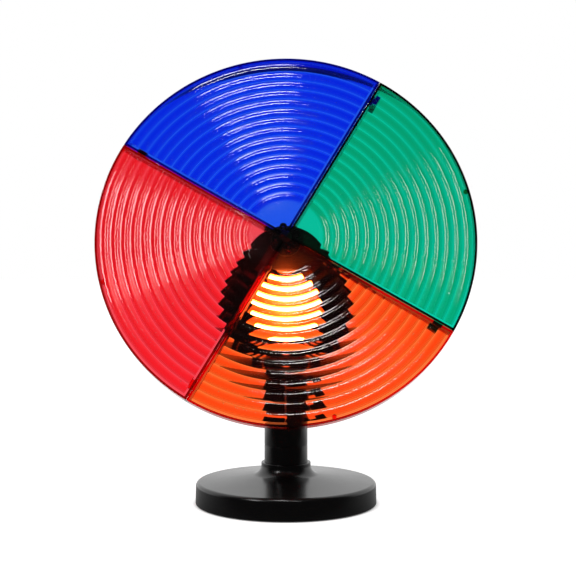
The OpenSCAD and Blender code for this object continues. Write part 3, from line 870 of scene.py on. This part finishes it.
# The head

# What its pieces share, in millimetres: how far the middle of its arch and its lamp lie below the wheel's
# axle, how far back it reaches, and the thickness of its shells
ARCH_DROP = 21.6
BAY_DROP = 58.0
COVER_BACK = 150.0
SHELL = 2.5


@dataclass
class Switch:
    """The mains switch in the rear cover, in millimetres."""

    width: float = 12.8
    height: float = 20.0
    front: float = 135.0
    clear: float = 0.1
    corner: float = 0.3
    wall: float = 1.1
    bezel: float = 1.2
    bezel_thick: float = 1.6
    bezel_corner: float = 1.2
    bezel_round: float = 0.5
    rocker_floor: float = 142.6
    rocker_depth: float = 148.0
    rocker_tilt: float = 8.0
    rocker_half_width: float = 5.0
    rocker_round: float = 0.35
    root: float = -4.0
    root_half: float = 4.5
    dish_floor: float = 2.8
    dish_rise: float = 1.6
    dish_half: float = 7.8
    dish_steps: int = 6

    def outline(self, wider: float, corner: float) -> list[Point]:
        """Gives the outline of its tub, or one that much wider all round."""
        return rounded_box(0, -ARCH_DROP, self.width + 2 * wider, self.height + 2 * wider, corner)

    def hole(self) -> list[Point]:
        """Gives the outline of its hole in the rear cover."""
        return self.outline(self.clear, self.corner)

    def body(self) -> Piece:
        """Builds its frame, with the tub in the cover and the opening for the rocker.

        Returns:
            The frame in the wheel's frame.
        """
        top = COVER_BACK + self.bezel_thick
        body = prism("switch_frame", self.outline(self.bezel, self.bezel_corner), Axis.Y, COVER_BACK, top)
        round_edges(body, self.bezel_round, lambda p: p.y > top - NEAR)
        join(body, prism("tub", self.outline(0, self.corner), Axis.Y, self.front, top - OVER), Join.ADD)
        opening = self.outline(-self.wall, self.corner)
        return join(body, prism("opening", opening, Axis.Y, self.rocker_floor, top + OVER), Join.CUT)

    def rocker(self) -> Piece:
        """Draws its rocker with the dished face, tipped to on.

        Returns:
            The rocker in the wheel's frame.
        """
        shares = [i / self.dish_steps for i in range(-self.dish_steps, self.dish_steps + 1)]
        outline = [(self.dish_floor + self.dish_rise * s**2, self.dish_half * s) for s in shares]
        outline += [(self.root, side * self.root_half) for side in (1, -1)]
        turn = Matrix.Rotation(math.radians(self.rocker_tilt), 2)
        turned = [turn @ Vector(p) for p in outline]
        points = [(self.rocker_depth + p.x, p.y - ARCH_DROP) for p in turned]
        half = self.rocker_half_width
        rocker = prism("rocker", points, Axis.X, -half, half)
        round_edges(rocker, self.rocker_round, lambda p: abs(abs(p.x) - half) < NEAR)
        return rocker

    def build(self) -> None:
        """Builds and dresses the frame and the rocker."""
        for piece, body, slot, look, node_name in (
            (self.body(), Body.HEAD, "switch_plastic", KNOB_ABS, "switch_body"),
            (self.rocker(), Body.ROCKER, "rocker_red", RED_ABS, "switch_rocker"),
        ):
            place(piece, HEAD_PLACE)
            finish(piece, body, look, node_name)


@dataclass
class CordInlet:
    """The rubber grommet in the rear cover that a cord goes in by, in millimetres."""

    drop: float = 84.0
    radius: float = 5.0
    corners: int = 36
    clear: float = 0.1
    bore: float = 3.6
    lip: float = 2.0
    grip: float = 1.0
    lip_round: float = 1.2
    bore_round: float = 0.8

    def hole(self) -> list[Point]:
        """Gives the outline of its hole in the rear cover."""
        return circle(0, -self.drop, self.radius, self.corners)

    def grommet(self) -> Piece:
        """Turns the grommet, with a neck in the hole and a lip on each side of the cover.

        Returns:
            The grommet in the wheel's frame.
        """
        bore, neck, rim = self.bore, self.radius - self.clear, self.radius + self.lip
        front, back, grip = COVER_BACK - SHELL, COVER_BACK, neck + self.grip
        inside, outside = front - self.lip, back + self.lip
        profile = [(bore, inside), (grip, inside), (grip, front), (neck, front), (neck, back), (rim, back)]
        profile += arc(rim - self.lip_round, outside - self.lip_round, self.lip_round, 0, 90, 5)
        profile += arc(bore + self.bore_round, outside - self.bore_round, self.bore_round, 90, 180, 4)
        return lower(lathe("grommet", profile + profile[:1], Axis.Y, 48), self.drop)

    def build(self) -> None:
        """Builds and dresses the grommet."""
        piece = self.grommet()
        place(piece, HEAD_PLACE)
        finish(piece, Body.HEAD, RUBBER, "cord_grommet")


@dataclass
class Hood:
    """The hood behind the wheel and its rear cover, in millimetres."""

    front: float = 20.0
    back: float = 100.0
    arch_radius: float = 36.7
    bay_radius: float = 56.5
    rim_round: float = 0.7
    shelf_bottom: float = -24.2
    shelf_thick: float = 1.6
    shelf_back: float = 59.7
    bush_bore: float = 4.55
    lug_radius: float = 14.2
    lug_outside: float = -19.45
    lug_inside: float = -0.8
    lug_top: float = -100.4
    lug_round: float = 0.8
    pivot_depth: float = 81.0
    pivot_drop: float = 130.0
    bolt_bore: float = 3.05
    bolt_pocket: float = 5.8
    bolt_pocket_end: float = -15.05
    brim: float = 4.0
    taper: float = 8.0
    taper_end: float = 138.0
    cover_end: float = 19.0
    pillar_radius: float = 4.8
    pillar_end: float = 115.0
    well_radius: float = 3.2
    well_floor: float = 105.0
    screw_bore: float = 1.8
    screw_ring_gap: float = 6.0
    arch_screw_lean: float = 46.0
    bay_screw_lean: float = -40.0
    pedestal_radius: float = 15.0
    pedestal_front: float = 135.7
    vents: tuple[Point, ...] = ((19.0, 24.0), (24.5, 20.0), (30.0, 12.0))
    vent_width: float = 2.6
    vent_corner: float = 1.2935

    def egg(self, inset: float) -> list[Point]:
        """Gives the hood's front view: an arch over the motor and a round lamp bay, joined by tangents.

        Args:
            inset: How far inside the hood's outline this one lies.

        Returns:
            The outline's points, anticlockwise.
        """
        lean = math.degrees(math.asin((self.bay_radius - self.arch_radius) / (BAY_DROP - ARCH_DROP)))
        arch = arc(0, -ARCH_DROP, self.arch_radius - inset, lean, 180 - lean, 36)
        bay = arc(0, -BAY_DROP, self.bay_radius - inset, 180 - lean, 360 + lean, 72)
        return arch + bay

    def screw_spots(self) -> list[Point]:
        """Gives the places of the rear cover's four screws, close to the hood's wall.

        Returns:
            The places across and up.
        """
        spots = []
        for radius, drop, lean in (
            (self.arch_radius, ARCH_DROP, self.arch_screw_lean),
            (self.bay_radius, BAY_DROP, self.bay_screw_lean),
        ):
            ring, angle = radius - self.screw_ring_gap, math.radians(lean)
            for side in (-1, 1):
                spots.append((side * ring * math.cos(angle), ring * math.sin(angle) - drop))
        return spots

    def lug(self) -> Piece:
        """Draws the left half of the tilt knuckle, up to the hood's wall.

        Returns:
            The lug.
        """
        y, u, r = self.pivot_depth, -self.pivot_drop, self.lug_radius
        outline = arc(y, u, r, 180, 360, 32) + [(y + r, self.lug_top), (y - r, self.lug_top)]
        lug = prism("lug", outline, Axis.X, self.lug_outside, self.lug_inside)
        round_edges(lug, self.lug_round, lambda p: min(p.x - self.lug_outside, self.lug_inside - p.x) < NEAR)
        inside = prism("inside", self.egg(SHELL / 2), Axis.Y, self.front - OVER, self.back + OVER)
        return join(lug, inside, Join.CUT)

    def hood(self) -> Piece:
        """Builds the hood's tube with its front wall, shelf and half of the tilt knuckle.

        Returns:
            The hood in the wheel's frame.
        """
        hood = prism("hood", self.egg(0), Axis.Y, self.front, self.back)
        ends, inside = (self.front, self.back), self.front + SHELL
        join(hood, prism("room", self.egg(SHELL), Axis.Y, self.front - OVER, self.back + OVER), Join.CUT)
        round_edges(hood, self.rim_round, lambda p: min(abs(p.y - end) for end in ends) < NEAR)
        shelf_top = self.shelf_bottom + self.shelf_thick
        for top, back in ((self.arch_radius, inside), (shelf_top, self.shelf_back)):
            wall = prism("front_wall", self.egg(SHELL / 2), Axis.Y, self.front, back)
            with editing(wall):
                for up, side in ((self.shelf_bottom, 1), (top, -1)):
                    slice_off(Vector((0, 0, up)), Vector((0, 0, side)))
                tidy_faces()
            join(hood, wall, Join.ADD)
        join(hood, self.lug(), Join.ADD)
        join(hood, rod(Axis.Y, 0, 0, self.bush_bore, self.front - OVER, inside + OVER), Join.CUT)
        for radius, end in ((self.bolt_bore, 0.0), (self.bolt_pocket, self.bolt_pocket_end)):
            hole = rod(Axis.X, self.pivot_depth, -self.pivot_drop, radius, self.lug_outside - OVER, end)
            join(hood, hole, Join.CUT)
        return hood

    def cover_form(self, inset: float, start: float, back: float, end_inset: float) -> Piece:
        """Draws the rear cover's outside or inside as a closed form that tapers to its back.

        Args:
            inset: How far inside the hood's outline it starts.
            start: Depth of its front.
            back: Depth of its back.
            end_inset: How far inside the hood's outline its back face lies.

        Returns:
            The form.
        """
        brim_end = self.back + self.brim
        form = prism("cover_form", self.egg(inset), Axis.Y, start, brim_end)
        taper_end = self.taper_end - COVER_BACK + back
        reach = end_inset - inset - self.taper
        rounded = arc(0, 0, 1, 0, 90, 6)
        steps = [(self.taper, taper_end - brim_end)]
        for (c0, s0), (c1, s1) in zip(rounded, rounded[1:]):
            steps.append(((c0 - c1) * reach, (s1 - s0) * (back - taper_end)))
        with editing(form):
            pick(form, Part.FACE, lambda p: abs(p.y - brim_end) < NEAR)
            for narrower, deeper in steps:
                bpy.ops.mesh.inset(thickness=narrower, depth=deeper, use_even_offset=True)
        return form

    def rear_cover(self) -> Piece:
        """Builds the rear cover with its screw wells, vents and openings.

        Returns:
            The cover in the wheel's frame.
        """
        cover = self.cover_form(0, self.back, COVER_BACK, self.cover_end)
        cover.name = cover.data.name = "back_cover"
        round_edges(cover, self.rim_round, lambda p: abs(p.y - self.back) < NEAR)
        room = self.cover_form(SHELL, self.back - OVER, COVER_BACK - SHELL, self.cover_end + SHELL / 2)
        for x, u in self.screw_spots():
            join(room, rod(Axis.Y, x, u, self.pillar_radius, self.back - 2 * OVER, self.pillar_end), Join.CUT)
        pedestal = rod(Axis.Y, 0, -BAY_DROP, self.pedestal_radius, self.pedestal_front, COVER_BACK)
        join(room, pedestal, Join.CUT)
        join(cover, room, Join.CUT)
        for x, u in self.screw_spots():
            join(cover, rod(Axis.Y, x, u, self.screw_bore, self.back - OVER, COVER_BACK), Join.CUT)
            join(cover, rod(Axis.Y, x, u, self.well_radius, self.well_floor, COVER_BACK), Join.CUT)
        holes = [
            rounded_box(side * x, -BAY_DROP, self.vent_width, length + self.vent_width, self.vent_corner)
            for x, length in self.vents
            for side in (-1, 1)
        ]
        for outline in holes + [Switch().hole(), CordInlet().hole()]:
            through = prism("hole", outline, Axis.Y, COVER_BACK - SHELL - OVER, COVER_BACK + OVER)
            join(cover, through, Join.CUT)
        return cover

    def build(self) -> None:
        """Builds and dresses the hood and its cover."""
        for piece, node_name in ((self.hood(), "lamp_hood"), (self.rear_cover(), "rear_cover")):
            place(piece, HEAD_PLACE)
            finish(piece, Body.HEAD, BLACK_ABS, node_name)


@dataclass
class ReflectorLamp:
    """The lit reflector bulb in the hood, in millimetres, with its beam."""

    radius: float = 31.75
    front: float = 36.0
    back: float = 112.0
    dome: float = 3.5
    dome_steps: int = 12
    edge: float = 6.0
    edge_from: float = -75.0
    flank_steps: int = 32
    seam: float = 0.02
    neck_radius: float = 12.4
    neck_length: float = 8.0
    glass: float = 1.0
    glow_reach: float = 30.0
    glow_most: float = 4.0
    glow_least: float = 1.0
    beam_width: float = 58.0
    beam_depth: float = 27.0
    beam_drop: float = 53.0
    beam_lift: float = -5.0
    beam_watts: float = 0.012
    beam_spread: float = 12.0
    beam_colour: str = "#fff0dc"
    spill_depth: float = 10.0
    spill_drop: float = 30.0
    spill_watts: float = 1.0
    spill_colour: str = "#ffd090"

    def outline(self, wall: float) -> tuple[list[Point], list[Point]]:
        """Gives the bulb's outline, or the inside of its glass.

        Args:
            wall: How far inside the outline the line lies.

        Returns:
            The line across its face, from the middle out, and the line from there back to its neck.
        """
        r, front, neck = self.radius - wall, self.front + wall, self.neck_radius - wall
        flat, shoulder = r - self.edge, front + self.dome + self.edge
        taper = self.back - self.neck_length - shoulder
        shares = [i / self.dome_steps for i in range(self.dome_steps)]
        face = [(flat * s, front + self.dome * s**2) for s in shares]
        face += arc(flat, shoulder, self.edge, self.edge_from, 0, 10)
        shares = [i / self.flank_steps for i in range(self.flank_steps + 1)]
        flank = [(neck + (r - neck) * (1 + math.cos(math.pi * s)) / 2, shoulder + taper * s) for s in shares]
        return face, flank + [(neck, self.back)]

    def bulb(self) -> tuple[Piece, Piece]:
        """Turns the bulb: its frosted face and its silvered flank.

        Returns:
            The face and the flank, in the wheel's frame.
        """
        face, flank = self.outline(0)
        inner_face, inner_flank = self.outline(self.glass)
        rim = [(inner_face[-1][0], face[-1][1])]
        lens = lathe("bulb_face", face + rim + inner_face[-2::-1], Axis.Y)
        seam = flank[0][1] + self.seam
        start, end = (flank[0][0], seam), (inner_flank[0][0], seam)
        body = lathe("bulb_flank", [start] + flank[1:] + inner_flank[:0:-1] + [end, start], Axis.Y)
        return lower(lens, BAY_DROP), lower(body, BAY_DROP)

    def hang(self, data: bpy.types.Light, depth: float, drop: float, lift: float) -> Piece:
        """Hangs a light on the head, facing forwards.

        Args:
            data: The light.
            depth: How far it lies behind the wheel's face.
            drop: How far it lies below the wheel's axle.
            lift: How far it faces upwards at rest, in degrees.

        Returns:
            The light's object.
        """
        lamp = add_object(data.name, data)
        middle = HEAD_PLACE @ Vector((0, depth, -drop))
        lamp.matrix_world = Matrix.Translation(middle) @ Matrix.Rotation(math.radians(-90 - lift), 4, "X")
        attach(lamp, Body.HEAD.value)
        return lamp

    def light(self) -> None:
        """Lights the lamp: the narrow beam of its reflector, and the warm spill on the hood's front."""
        beam = bpy.data.lights.new("lamp_beam", "AREA")
        beam.shape = "DISK"
        beam.size = self.beam_width * MM
        beam.energy = self.beam_watts
        beam.spread = math.radians(self.beam_spread)
        beam.color = linear(self.beam_colour)[:3]
        self.hang(beam, self.beam_depth, self.beam_drop, self.beam_lift)
        spill = bpy.data.lights.new("lamp_spill", "POINT")
        spill.shadow_soft_size = 0.0
        spill.energy = self.spill_watts
        spill.color = linear(self.spill_colour)[:3]
        lamp = self.hang(spill, self.spill_depth, self.spill_drop, 0.0)
        lamp.visible_glossy = lamp.visible_transmission = False

    def build(self) -> None:
        """Builds and dresses the bulb, and lights it."""
        lens, flank = self.bulb()
        middle = HEAD_PLACE @ Vector((0, self.front, -BAY_DROP))
        strength = (self.glow_most, self.glow_least)
        # Inside-frosted glass over a lit filament, white-hot in front of it
        glass = LitGlass("frosted lamp glass", "#fff6e8", "#ffe8cc", strength, tuple(middle), self.glow_reach)
        for piece, look in ((lens, glass), (flank, SILVERED)):
            place(piece, HEAD_PLACE)
            finish(piece, Body.HEAD, look, "bulb_glass")
        self.light()


# The stand


@dataclass
class Stand:
    """The base with its foot pad, and the stem with its half of the tilt knuckle, in millimetres."""

    base_radius: float = 81.5
    base_foot: float = 0.8
    base_wall: float = 2.5
    foot_bevel: float = 0.4
    wall_top: float = 16.5
    draft: float = 0.4
    shoulder: float = 3.5
    flare_radius: float = 9.0
    flare_z: float = 35.0
    flare_from: float = 264.0
    flare_under: float = 222.0
    stem_radius: float = 19.45
    stem_clear: float = 0.1
    collar_ring: float = 2.8
    collar_z: float = 37.3
    collar_bevel: float = 0.6
    collar_seat: float = 31.5
    seat_bottom: float = 28.0
    stem_top: float = 52.7
    stem_wall: float = 3.0
    bolt_hole: float = 4.3
    stem_ease: float = 0.4
    groove: float = 0.6
    yoke_top: float = 71.5
    ear_face: float = 0.6
    ear_radius: float = 14.2
    ear_round: float = 0.8
    bolt_bore: float = 3.05
    parting_half: float = 0.2
    parting_corner: float = 0.198
    parting_proud: float = 0.08
    parting_short: float = 1.0
    pad_radius: float = 76.5
    pad_thick: float = 2.0
    pad_round: float = 0.6
    pad_groove_from: float = 12.0
    pad_groove_to: float = 8.0
    pad_groove_deep: float = 0.6

    def base(self) -> Piece:
        """Turns the base: an upright wall, a round shoulder, a gentle cone and a flare up to the collar.

        Returns:
            The base.
        """
        outer, foot, bevel, hole = self.base_radius, self.base_foot, self.collar_bevel, self.bolt_hole
        shoulder_x = outer - self.draft - self.shoulder
        collar = self.stem_radius + self.collar_ring
        flare_x = collar + self.flare_radius
        bore = self.stem_radius + self.stem_clear
        profile = [(outer - self.foot_bevel, foot), (outer, foot + self.foot_bevel)]
        profile += arc(shoulder_x, self.wall_top, self.shoulder, 0, 90, 12)
        profile += arc(flare_x, self.flare_z, self.flare_radius, self.flare_from, 180, 14)
        profile += arc(collar - bevel, self.collar_z - bevel, bevel, 0, 90, 4)
        profile += [(bore, self.collar_z), (bore, self.collar_seat), (hole, self.collar_seat)]
        profile += [(hole, self.seat_bottom), (collar, self.seat_bottom)]
        under = self.flare_radius + self.base_wall
        profile += arc(flare_x, self.flare_z, under, self.flare_under, self.flare_from, 6)
        profile += arc(shoulder_x, self.wall_top, self.shoulder - self.base_wall, 90, 0, 5)
        profile += [(outer - self.base_wall, foot), profile[0]]
        return lathe("base", profile, Axis.Z, 160)

    def parting_line(self, bottom: float, top: float) -> Piece:
        """Draws the fine raised line that the mould's halves leave on the front and back of the stem.

        Args:
            bottom: Height of the lower end of the stem's part.
            top: Height of its upper end.

        Returns:
            The line, as a thin blade through the stem.
        """
        reach = self.stem_radius + self.parting_proud
        blade = rounded_box(0, 0, 2 * self.parting_half, 2 * reach, self.parting_corner)
        return prism("parting_line", blade, Axis.Z, bottom + self.parting_short, top - self.parting_short)

    def lower_stem(self) -> Piece:
        """Turns the lower part of the stem.

        Returns:
            The tube.
        """
        r, ease, top, hole = self.stem_radius, self.stem_ease, self.stem_top, self.bolt_hole
        hollow, under = r - self.stem_wall, top - self.stem_wall
        profile = [(hollow, self.collar_seat), (r, self.collar_seat)]
        profile += arc(r - ease, top - ease, ease, 0, 90, 4)
        profile += [(hole, top), (hole, under), (hollow, under)]
        tube = lathe("lower_stem", profile + profile[:1], Axis.Z, 128)
        return join(tube, self.parting_line(self.collar_z, top), Join.ADD)

    def yoke(self) -> Piece:
        """Builds the upper part of the stem with the right half of the tilt knuckle.

        Returns:
            The yoke.
        """
        r, ease, top, bottom = self.stem_radius, self.stem_ease, self.yoke_top, self.stem_top + self.groove
        profile = [(0, self.stem_top), (r - self.groove, self.stem_top), (r - self.groove, bottom)]
        profile += arc(r - ease, bottom + ease, ease, 270, 360, 4)
        profile += arc(r - ease, top - ease, ease, 0, 90, 4) + [(0, top)]
        yoke = lathe("yoke", profile, Axis.Z, 128)
        join(yoke, self.parting_line(bottom, top), Join.ADD)
        ear, root = self.ear_radius, top - OVER
        outline = arc(0, PIVOT_Z, ear, 0, 180, 32) + [(-ear, root), (ear, root)]
        lobe = prism("ear", outline, Axis.X, self.ear_face, r + OVER)
        round_edges(lobe, self.ear_round, lambda p: abs(p.x - self.ear_face) < NEAR)
        join(lobe, rod(Axis.Z, 0, 0, r, root - OVER, PIVOT_Z + 2 * ear), Join.KEEP)
        join(yoke, lobe, Join.ADD)
        return clean(join(yoke, rod(Axis.X, 0, PIVOT_Z, self.bolt_bore, 0, 2 * r), Join.CUT))

    def foot(self) -> Piece:
        """Turns the rubber foot pad, with a shallow ring groove on its underside.

        Returns:
            The pad.
        """
        r, top, edge, deep = self.pad_radius, self.pad_thick, self.pad_round, self.pad_groove_deep
        inner, outer = r - self.pad_groove_from, r - self.pad_groove_to
        profile = [(0, 0), (inner, 0), (inner + deep, deep), (outer - deep, deep), (outer, 0)]
        profile += arc(r - edge, edge, edge, 270, 360, 4) + [(r, top), (0, top)]
        return lathe("rubber_pad", profile, Axis.Z, 128)

    def build(self) -> None:
        """Builds and dresses the stand's pieces."""
        for piece, slot, look, node_name in (
            (self.base(), "black_plastic", BLACK_ABS, "base_shell"),
            (self.lower_stem(), "black_plastic", BLACK_ABS, "stem_tube"),
            (self.yoke(), "black_plastic", BLACK_ABS, "stem_yoke"),
            (self.foot(), "black_rubber", RUBBER, "foot_pad"),
        ):
            place(piece, STAND_PLACE)
            finish(piece, Body.STAND, look, node_name)


@dataclass
class TiltKnob:
    """The fluted hand knob on the knuckle's bolt, in millimetres from the knuckle's middle."""

    start: float = 20.75
    neck: float = 6.0
    fillet: float = 1.0
    head_from: float = 25.25
    end: float = 33.55
    radius: float = 12.7
    edge_round: float = 1.2
    dish_top: float = 8.5
    dish_bottom: float = 7.5
    dish_deep: float = 0.6
    flutes: int = 12
    flute_radius: float = 1.6
    insert_radius: float = 4.6
    insert_end: float = 28.75

    def knob(self) -> Piece:
        """Turns the knob and cuts its flutes.

        Returns:
            The knob, upright.
        """
        head, end, r, edge = self.head_from, self.end, self.radius, self.edge_round
        floor = end - self.dish_deep
        profile = [(self.insert_radius, self.start), (self.neck, self.start)]
        profile += arc(self.neck + self.fillet, head - self.fillet, self.fillet, 180, 90, 4)
        profile += arc(r - edge, head + edge, edge, 270, 360, 5) + arc(r - edge, end - edge, edge, 0, 90, 5)
        profile += [(self.dish_top, end), (self.dish_bottom, floor), (0, floor)]
        profile += [(0, self.insert_end), (self.insert_radius, self.insert_end), profile[0]]
        knob = lathe("hand_knob", profile, Axis.Z)
        for x, y in circle(0, 0, r + self.flute_radius / 3, self.flutes):
            join(knob, rod(Axis.Z, x, y, self.flute_radius, head - OVER, end + OVER), Join.CUT)
        return clean(knob)

    def build(self) -> None:
        """Builds and dresses the knob, laid along the bolt."""
        knob = self.knob()
        laid = Matrix.Translation((0, 0, PIVOT_Z)) @ Matrix.Rotation(math.radians(90), 4, "Y")
        place(knob, STAND_PLACE @ laid)
        finish(knob, Body.KNOB, KNOB_ABS, "tilt_knob")


# The fittings inside, whose own shapes are kept


@dataclass(frozen=True)
class Fittings:
    """The small and hidden parts that keep their own shapes, by finish."""

    finishes: tuple[tuple[Moulded, str], ...] = (
        (BLACK_ABS, "base_cover"),
        (BLACK_NYLON, "wheel_hub"),
        (IRON, "ballast_plate"),
        (ZINC, "base_screws stem_bolt stem_washer tilt_bolt knob_washer"),
        (ZINC, "cover_screws motor_screws socket_screws hub_screws"),
        (STEEL, "motor_can motor_plate motor_shaft"),
        (BRASS, "knob_insert shaft_bush socket_sleeve socket_contact"),
        (FIBRE, "friction_washer"),
        (CERAMIC, "lamp_socket"),
        (ALUMINIUM, "bulb_cap"),
        (PVC, "lead_wires"),
    )

    def dress(self) -> None:
        """Dresses each kept part in its finish."""
        for look, names in self.finishes:
            for name in names.split():
                wear(frame["nodes"][name], look)
                LOG.info("%s: kept, in %s", name, look.name)


# The studio


@dataclass
class RibLamp:
    """A soft lamp, hung where the ribs' flanks of one slope mirror it to the camera.

    Attributes:
        name: Its name.
        slope: Slope of those flanks in degrees.
        bearing: Where those flanks face, anticlockwise from the right, in degrees.
        breadth: Its breadth along that bearing in metres.
        length: Its length across that bearing in metres.
        glow: Its radiance.
        reach: Its distance from the wheel in metres.
    """

    name: str
    slope: float
    bearing: float
    breadth: float
    length: float
    glow: float
    reach: float = 1.1

    def build(self, middle: Vector, view: Vector) -> None:
        """Hangs the lamp so that it faces the wheel.

        Args:
            middle: The wheel's middle.
            view: The direction from there to the camera.
        """
        slope, bearing = math.radians(self.slope), math.radians(self.bearing)
        right = Vector((1, 0, 0))
        outwards = right * math.cos(bearing) + FORWARD.cross(right) * math.sin(bearing)
        flank = FORWARD * math.cos(slope) + outwards * math.sin(slope)
        away = flank * 2 * flank.dot(view) - view
        along = (outwards - away * outwards.dot(away)).normalized()
        data = bpy.data.lights.new(self.name, "AREA")
        data.shape = "RECTANGLE"
        data.size, data.size_y = self.breadth, self.length
        data.energy = self.glow * math.pi * self.breadth * self.length
        lamp = add_object(self.name, data)
        turn = Matrix((along, away.cross(along), away)).transposed().to_4x4()
        lamp.matrix_world = Matrix.Translation(middle + away * self.reach) @ turn
        # Seen from behind through a rim, it would be a long white streak
        lamp.visible_transmission = False


@dataclass
class Studio:
    """The camera, the lamps, the pale floor and the white surroundings, in metres."""

    camera_at: tuple[float, float, float] = (0.0018, -1.1127, 0.2378)
    camera_down: float = 2.268
    lens: float = 77.59
    sensor: float = 36.0
    wheel_middle: tuple[float, float, float] = (0.0, -0.042, 0.24)
    rib_lamps: tuple[RibLamp, ...] = (
        RibLamp("top_far", 13.6, 104.5, 0.14, 0.3, 13.5),
        RibLamp("top_near", 3.1, 104.5, 0.09, 0.07, 19.0),
        RibLamp("left_far", 20.2, 182.5, 0.17, 0.54, 8.5),
        RibLamp("left_near", 3.2, 184.0, 0.09, 0.085, 8.5),
        RibLamp("right_near", 6.5, 3.0, 0.08, 0.2, 10.0),
    )
    ambient: float = 0.35
    front: float = 0.03
    inner_front: float = 0.05
    world_span: Point = (-0.1, 0.3)
    floor_half: float = 6.0
    floor_span: Point = (-0.1, 0.4)
    floor_glow: float = 0.88
    paper: str = "#d8d8d8"
    # How far the painted contact shade under the object reaches, in metres
    contact_shade_reach: float = 0.005

    def camera(self) -> None:
        """Sets up the camera at the photograph's view."""
        data = bpy.data.cameras.new("camera")
        data.lens, data.sensor_width = self.lens, self.sensor
        camera = add_object("camera", data)
        camera.location = self.camera_at
        camera.rotation_euler = (math.radians(90 - self.camera_down), 0.0, 0.0)
        bpy.context.scene.camera = camera

    def lamps(self) -> None:
        """Hangs two lamps above the wheel, two on its left and one on its right."""
        middle = Vector(self.wheel_middle)
        view = (Vector(self.camera_at) - middle).normalized()
        for lamp in self.rib_lamps:
            lamp.build(middle, view)

    def seen(self, tree: Nodes, path: bpy.types.Node) -> Socket:
        """Tells what the eye sees, straight or through clear pieces, from what is mirrored.

        Args:
            tree: The material's or the world's nodes.
            path: Its Light Path node.

        Returns:
            The output that is 1 for what is seen and 0 for what is mirrored or lights the object.
        """
        ray = path.outputs
        depth = {0: ray["Glossy Depth"], 1: 0.5}
        unmirrored = node(tree, "ShaderNodeMath", depth, operation="LESS_THAN").outputs[0]
        clear = {0: ray["Is Transmission Ray"], 1: unmirrored}
        through = node(tree, "ShaderNodeMath", clear, operation="MULTIPLY").outputs[0]
        either = {0: ray["Is Camera Ray"], 1: through}
        return node(tree, "ShaderNodeMath", either, operation="MAXIMUM").outputs[0]

    def world(self) -> None:
        """Makes the surroundings white to the eye and through glass, and darker in front for reflections."""
        world = bpy.data.worlds.new("studio")
        bpy.context.scene.world = world
        world.use_nodes = True
        tree = world.node_tree
        tree.nodes.clear()
        path = node(tree, "ShaderNodeLightPath")
        direction = node(tree, "ShaderNodeTexCoord").outputs["Generated"]
        behind = node(tree, "ShaderNodeSeparateXYZ", {"Vector": direction}).outputs["Y"]
        fronts = {0: path.outputs["Is Transmission Ray"], 2: self.front, 3: self.inner_front}
        front = node(tree, "ShaderNodeMix", fronts).outputs[0]
        start, end = self.world_span
        rise = {"Value": behind, "From Min": start, "From Max": end, "To Min": front}
        mirrored = node(tree, "ShaderNodeMapRange", rise).outputs["Result"]
        lights = {0: path.outputs["Is Diffuse Ray"], 2: mirrored, 3: self.ambient}
        lit = node(tree, "ShaderNodeMix", lights).outputs[0]
        strength = node(tree, "ShaderNodeMix", {0: self.seen(tree, path), 2: lit, 3: 1.0}).outputs[0]
        white = node(tree, "ShaderNodeBackground", {"Color": WHITE, "Strength": strength})
        node(tree, "ShaderNodeOutputWorld", {"Surface": white.outputs[0]})

    def floor(self) -> None:
        """Lays the pale floor, white to the eye but for the object's soft shadow and a painted contact shade
        close under it.
        """
        bpy.ops.object.select_all(action="DESELECT")
        bpy.ops.mesh.primitive_plane_add(size=2 * self.floor_half)
        floor = bpy.context.object
        floor.name = "floor"
        # Pale paper that glows to the eye, with a painted contact shade close under the object, and darker in
        # front for reflections
        material, tree = bare_material("pale paper")
        path = node(tree, "ShaderNodeLightPath")
        paper = node(tree, "ShaderNodeBsdfDiffuse", {"Color": linear(self.paper)}).outputs[0]
        # Painted shade: the glow is dimmed by occlusion where the object comes close, as a contact shadow
        open_sky = node(tree, "ShaderNodeAmbientOcclusion", {"Distance": self.contact_shade_reach}, samples=8).outputs["AO"]
        shares = {0: open_sky, 1: self.floor_glow}
        strength = node(tree, "ShaderNodeMath", shares, operation="MULTIPLY").outputs[0]
        glow = node(tree, "ShaderNodeEmission", {"Strength": strength}).outputs[0]
        bright = node(tree, "ShaderNodeAddShader", {0: paper, 1: glow}).outputs[0]
        where = node(tree, "ShaderNodeTexCoord").outputs["Object"]
        behind = node(tree, "ShaderNodeSeparateXYZ", {"Vector": where}).outputs["Y"]
        start, end = self.floor_span
        rise = {"Value": behind, "From Min": start, "From Max": end, "To Min": self.front}
        mirrored = node(tree, "ShaderNodeMapRange", rise).outputs["Result"]
        sheen = node(tree, "ShaderNodeEmission", {"Strength": mirrored}).outputs[0]
        by_light = {0: path.outputs["Is Diffuse Ray"], 1: sheen, 2: paper}
        lit = node(tree, "ShaderNodeMixShader", by_light).outputs[0]
        shown = node(tree, "ShaderNodeMixShader", {0: self.seen(tree, path), 1: lit, 2: bright}).outputs[0]
        node(tree, "ShaderNodeOutputMaterial", {"Surface": shown})
        floor.data.materials.append(material)

    def build(self) -> None:
        """Sets up the whole studio."""
        self.camera()
        self.lamps()
        self.world()
        self.floor()
        scene = bpy.context.scene
        scene.view_settings.view_transform = "Standard"
        scene.cycles.sample_clamp_indirect = 0.0


def main() -> None:
    """Builds every part of the light and its studio."""
    logging.basicConfig(level=logging.INFO, format="%(name)s: %(message)s")
    ColourWheel().build()
    Hood().build()
    ReflectorLamp().build()
    Switch().build()
    CordInlet().build()
    Stand().build()
    TiltKnob().build()
    Fittings().dress()
    Studio().build()


if __name__ == "__main__":
    main()
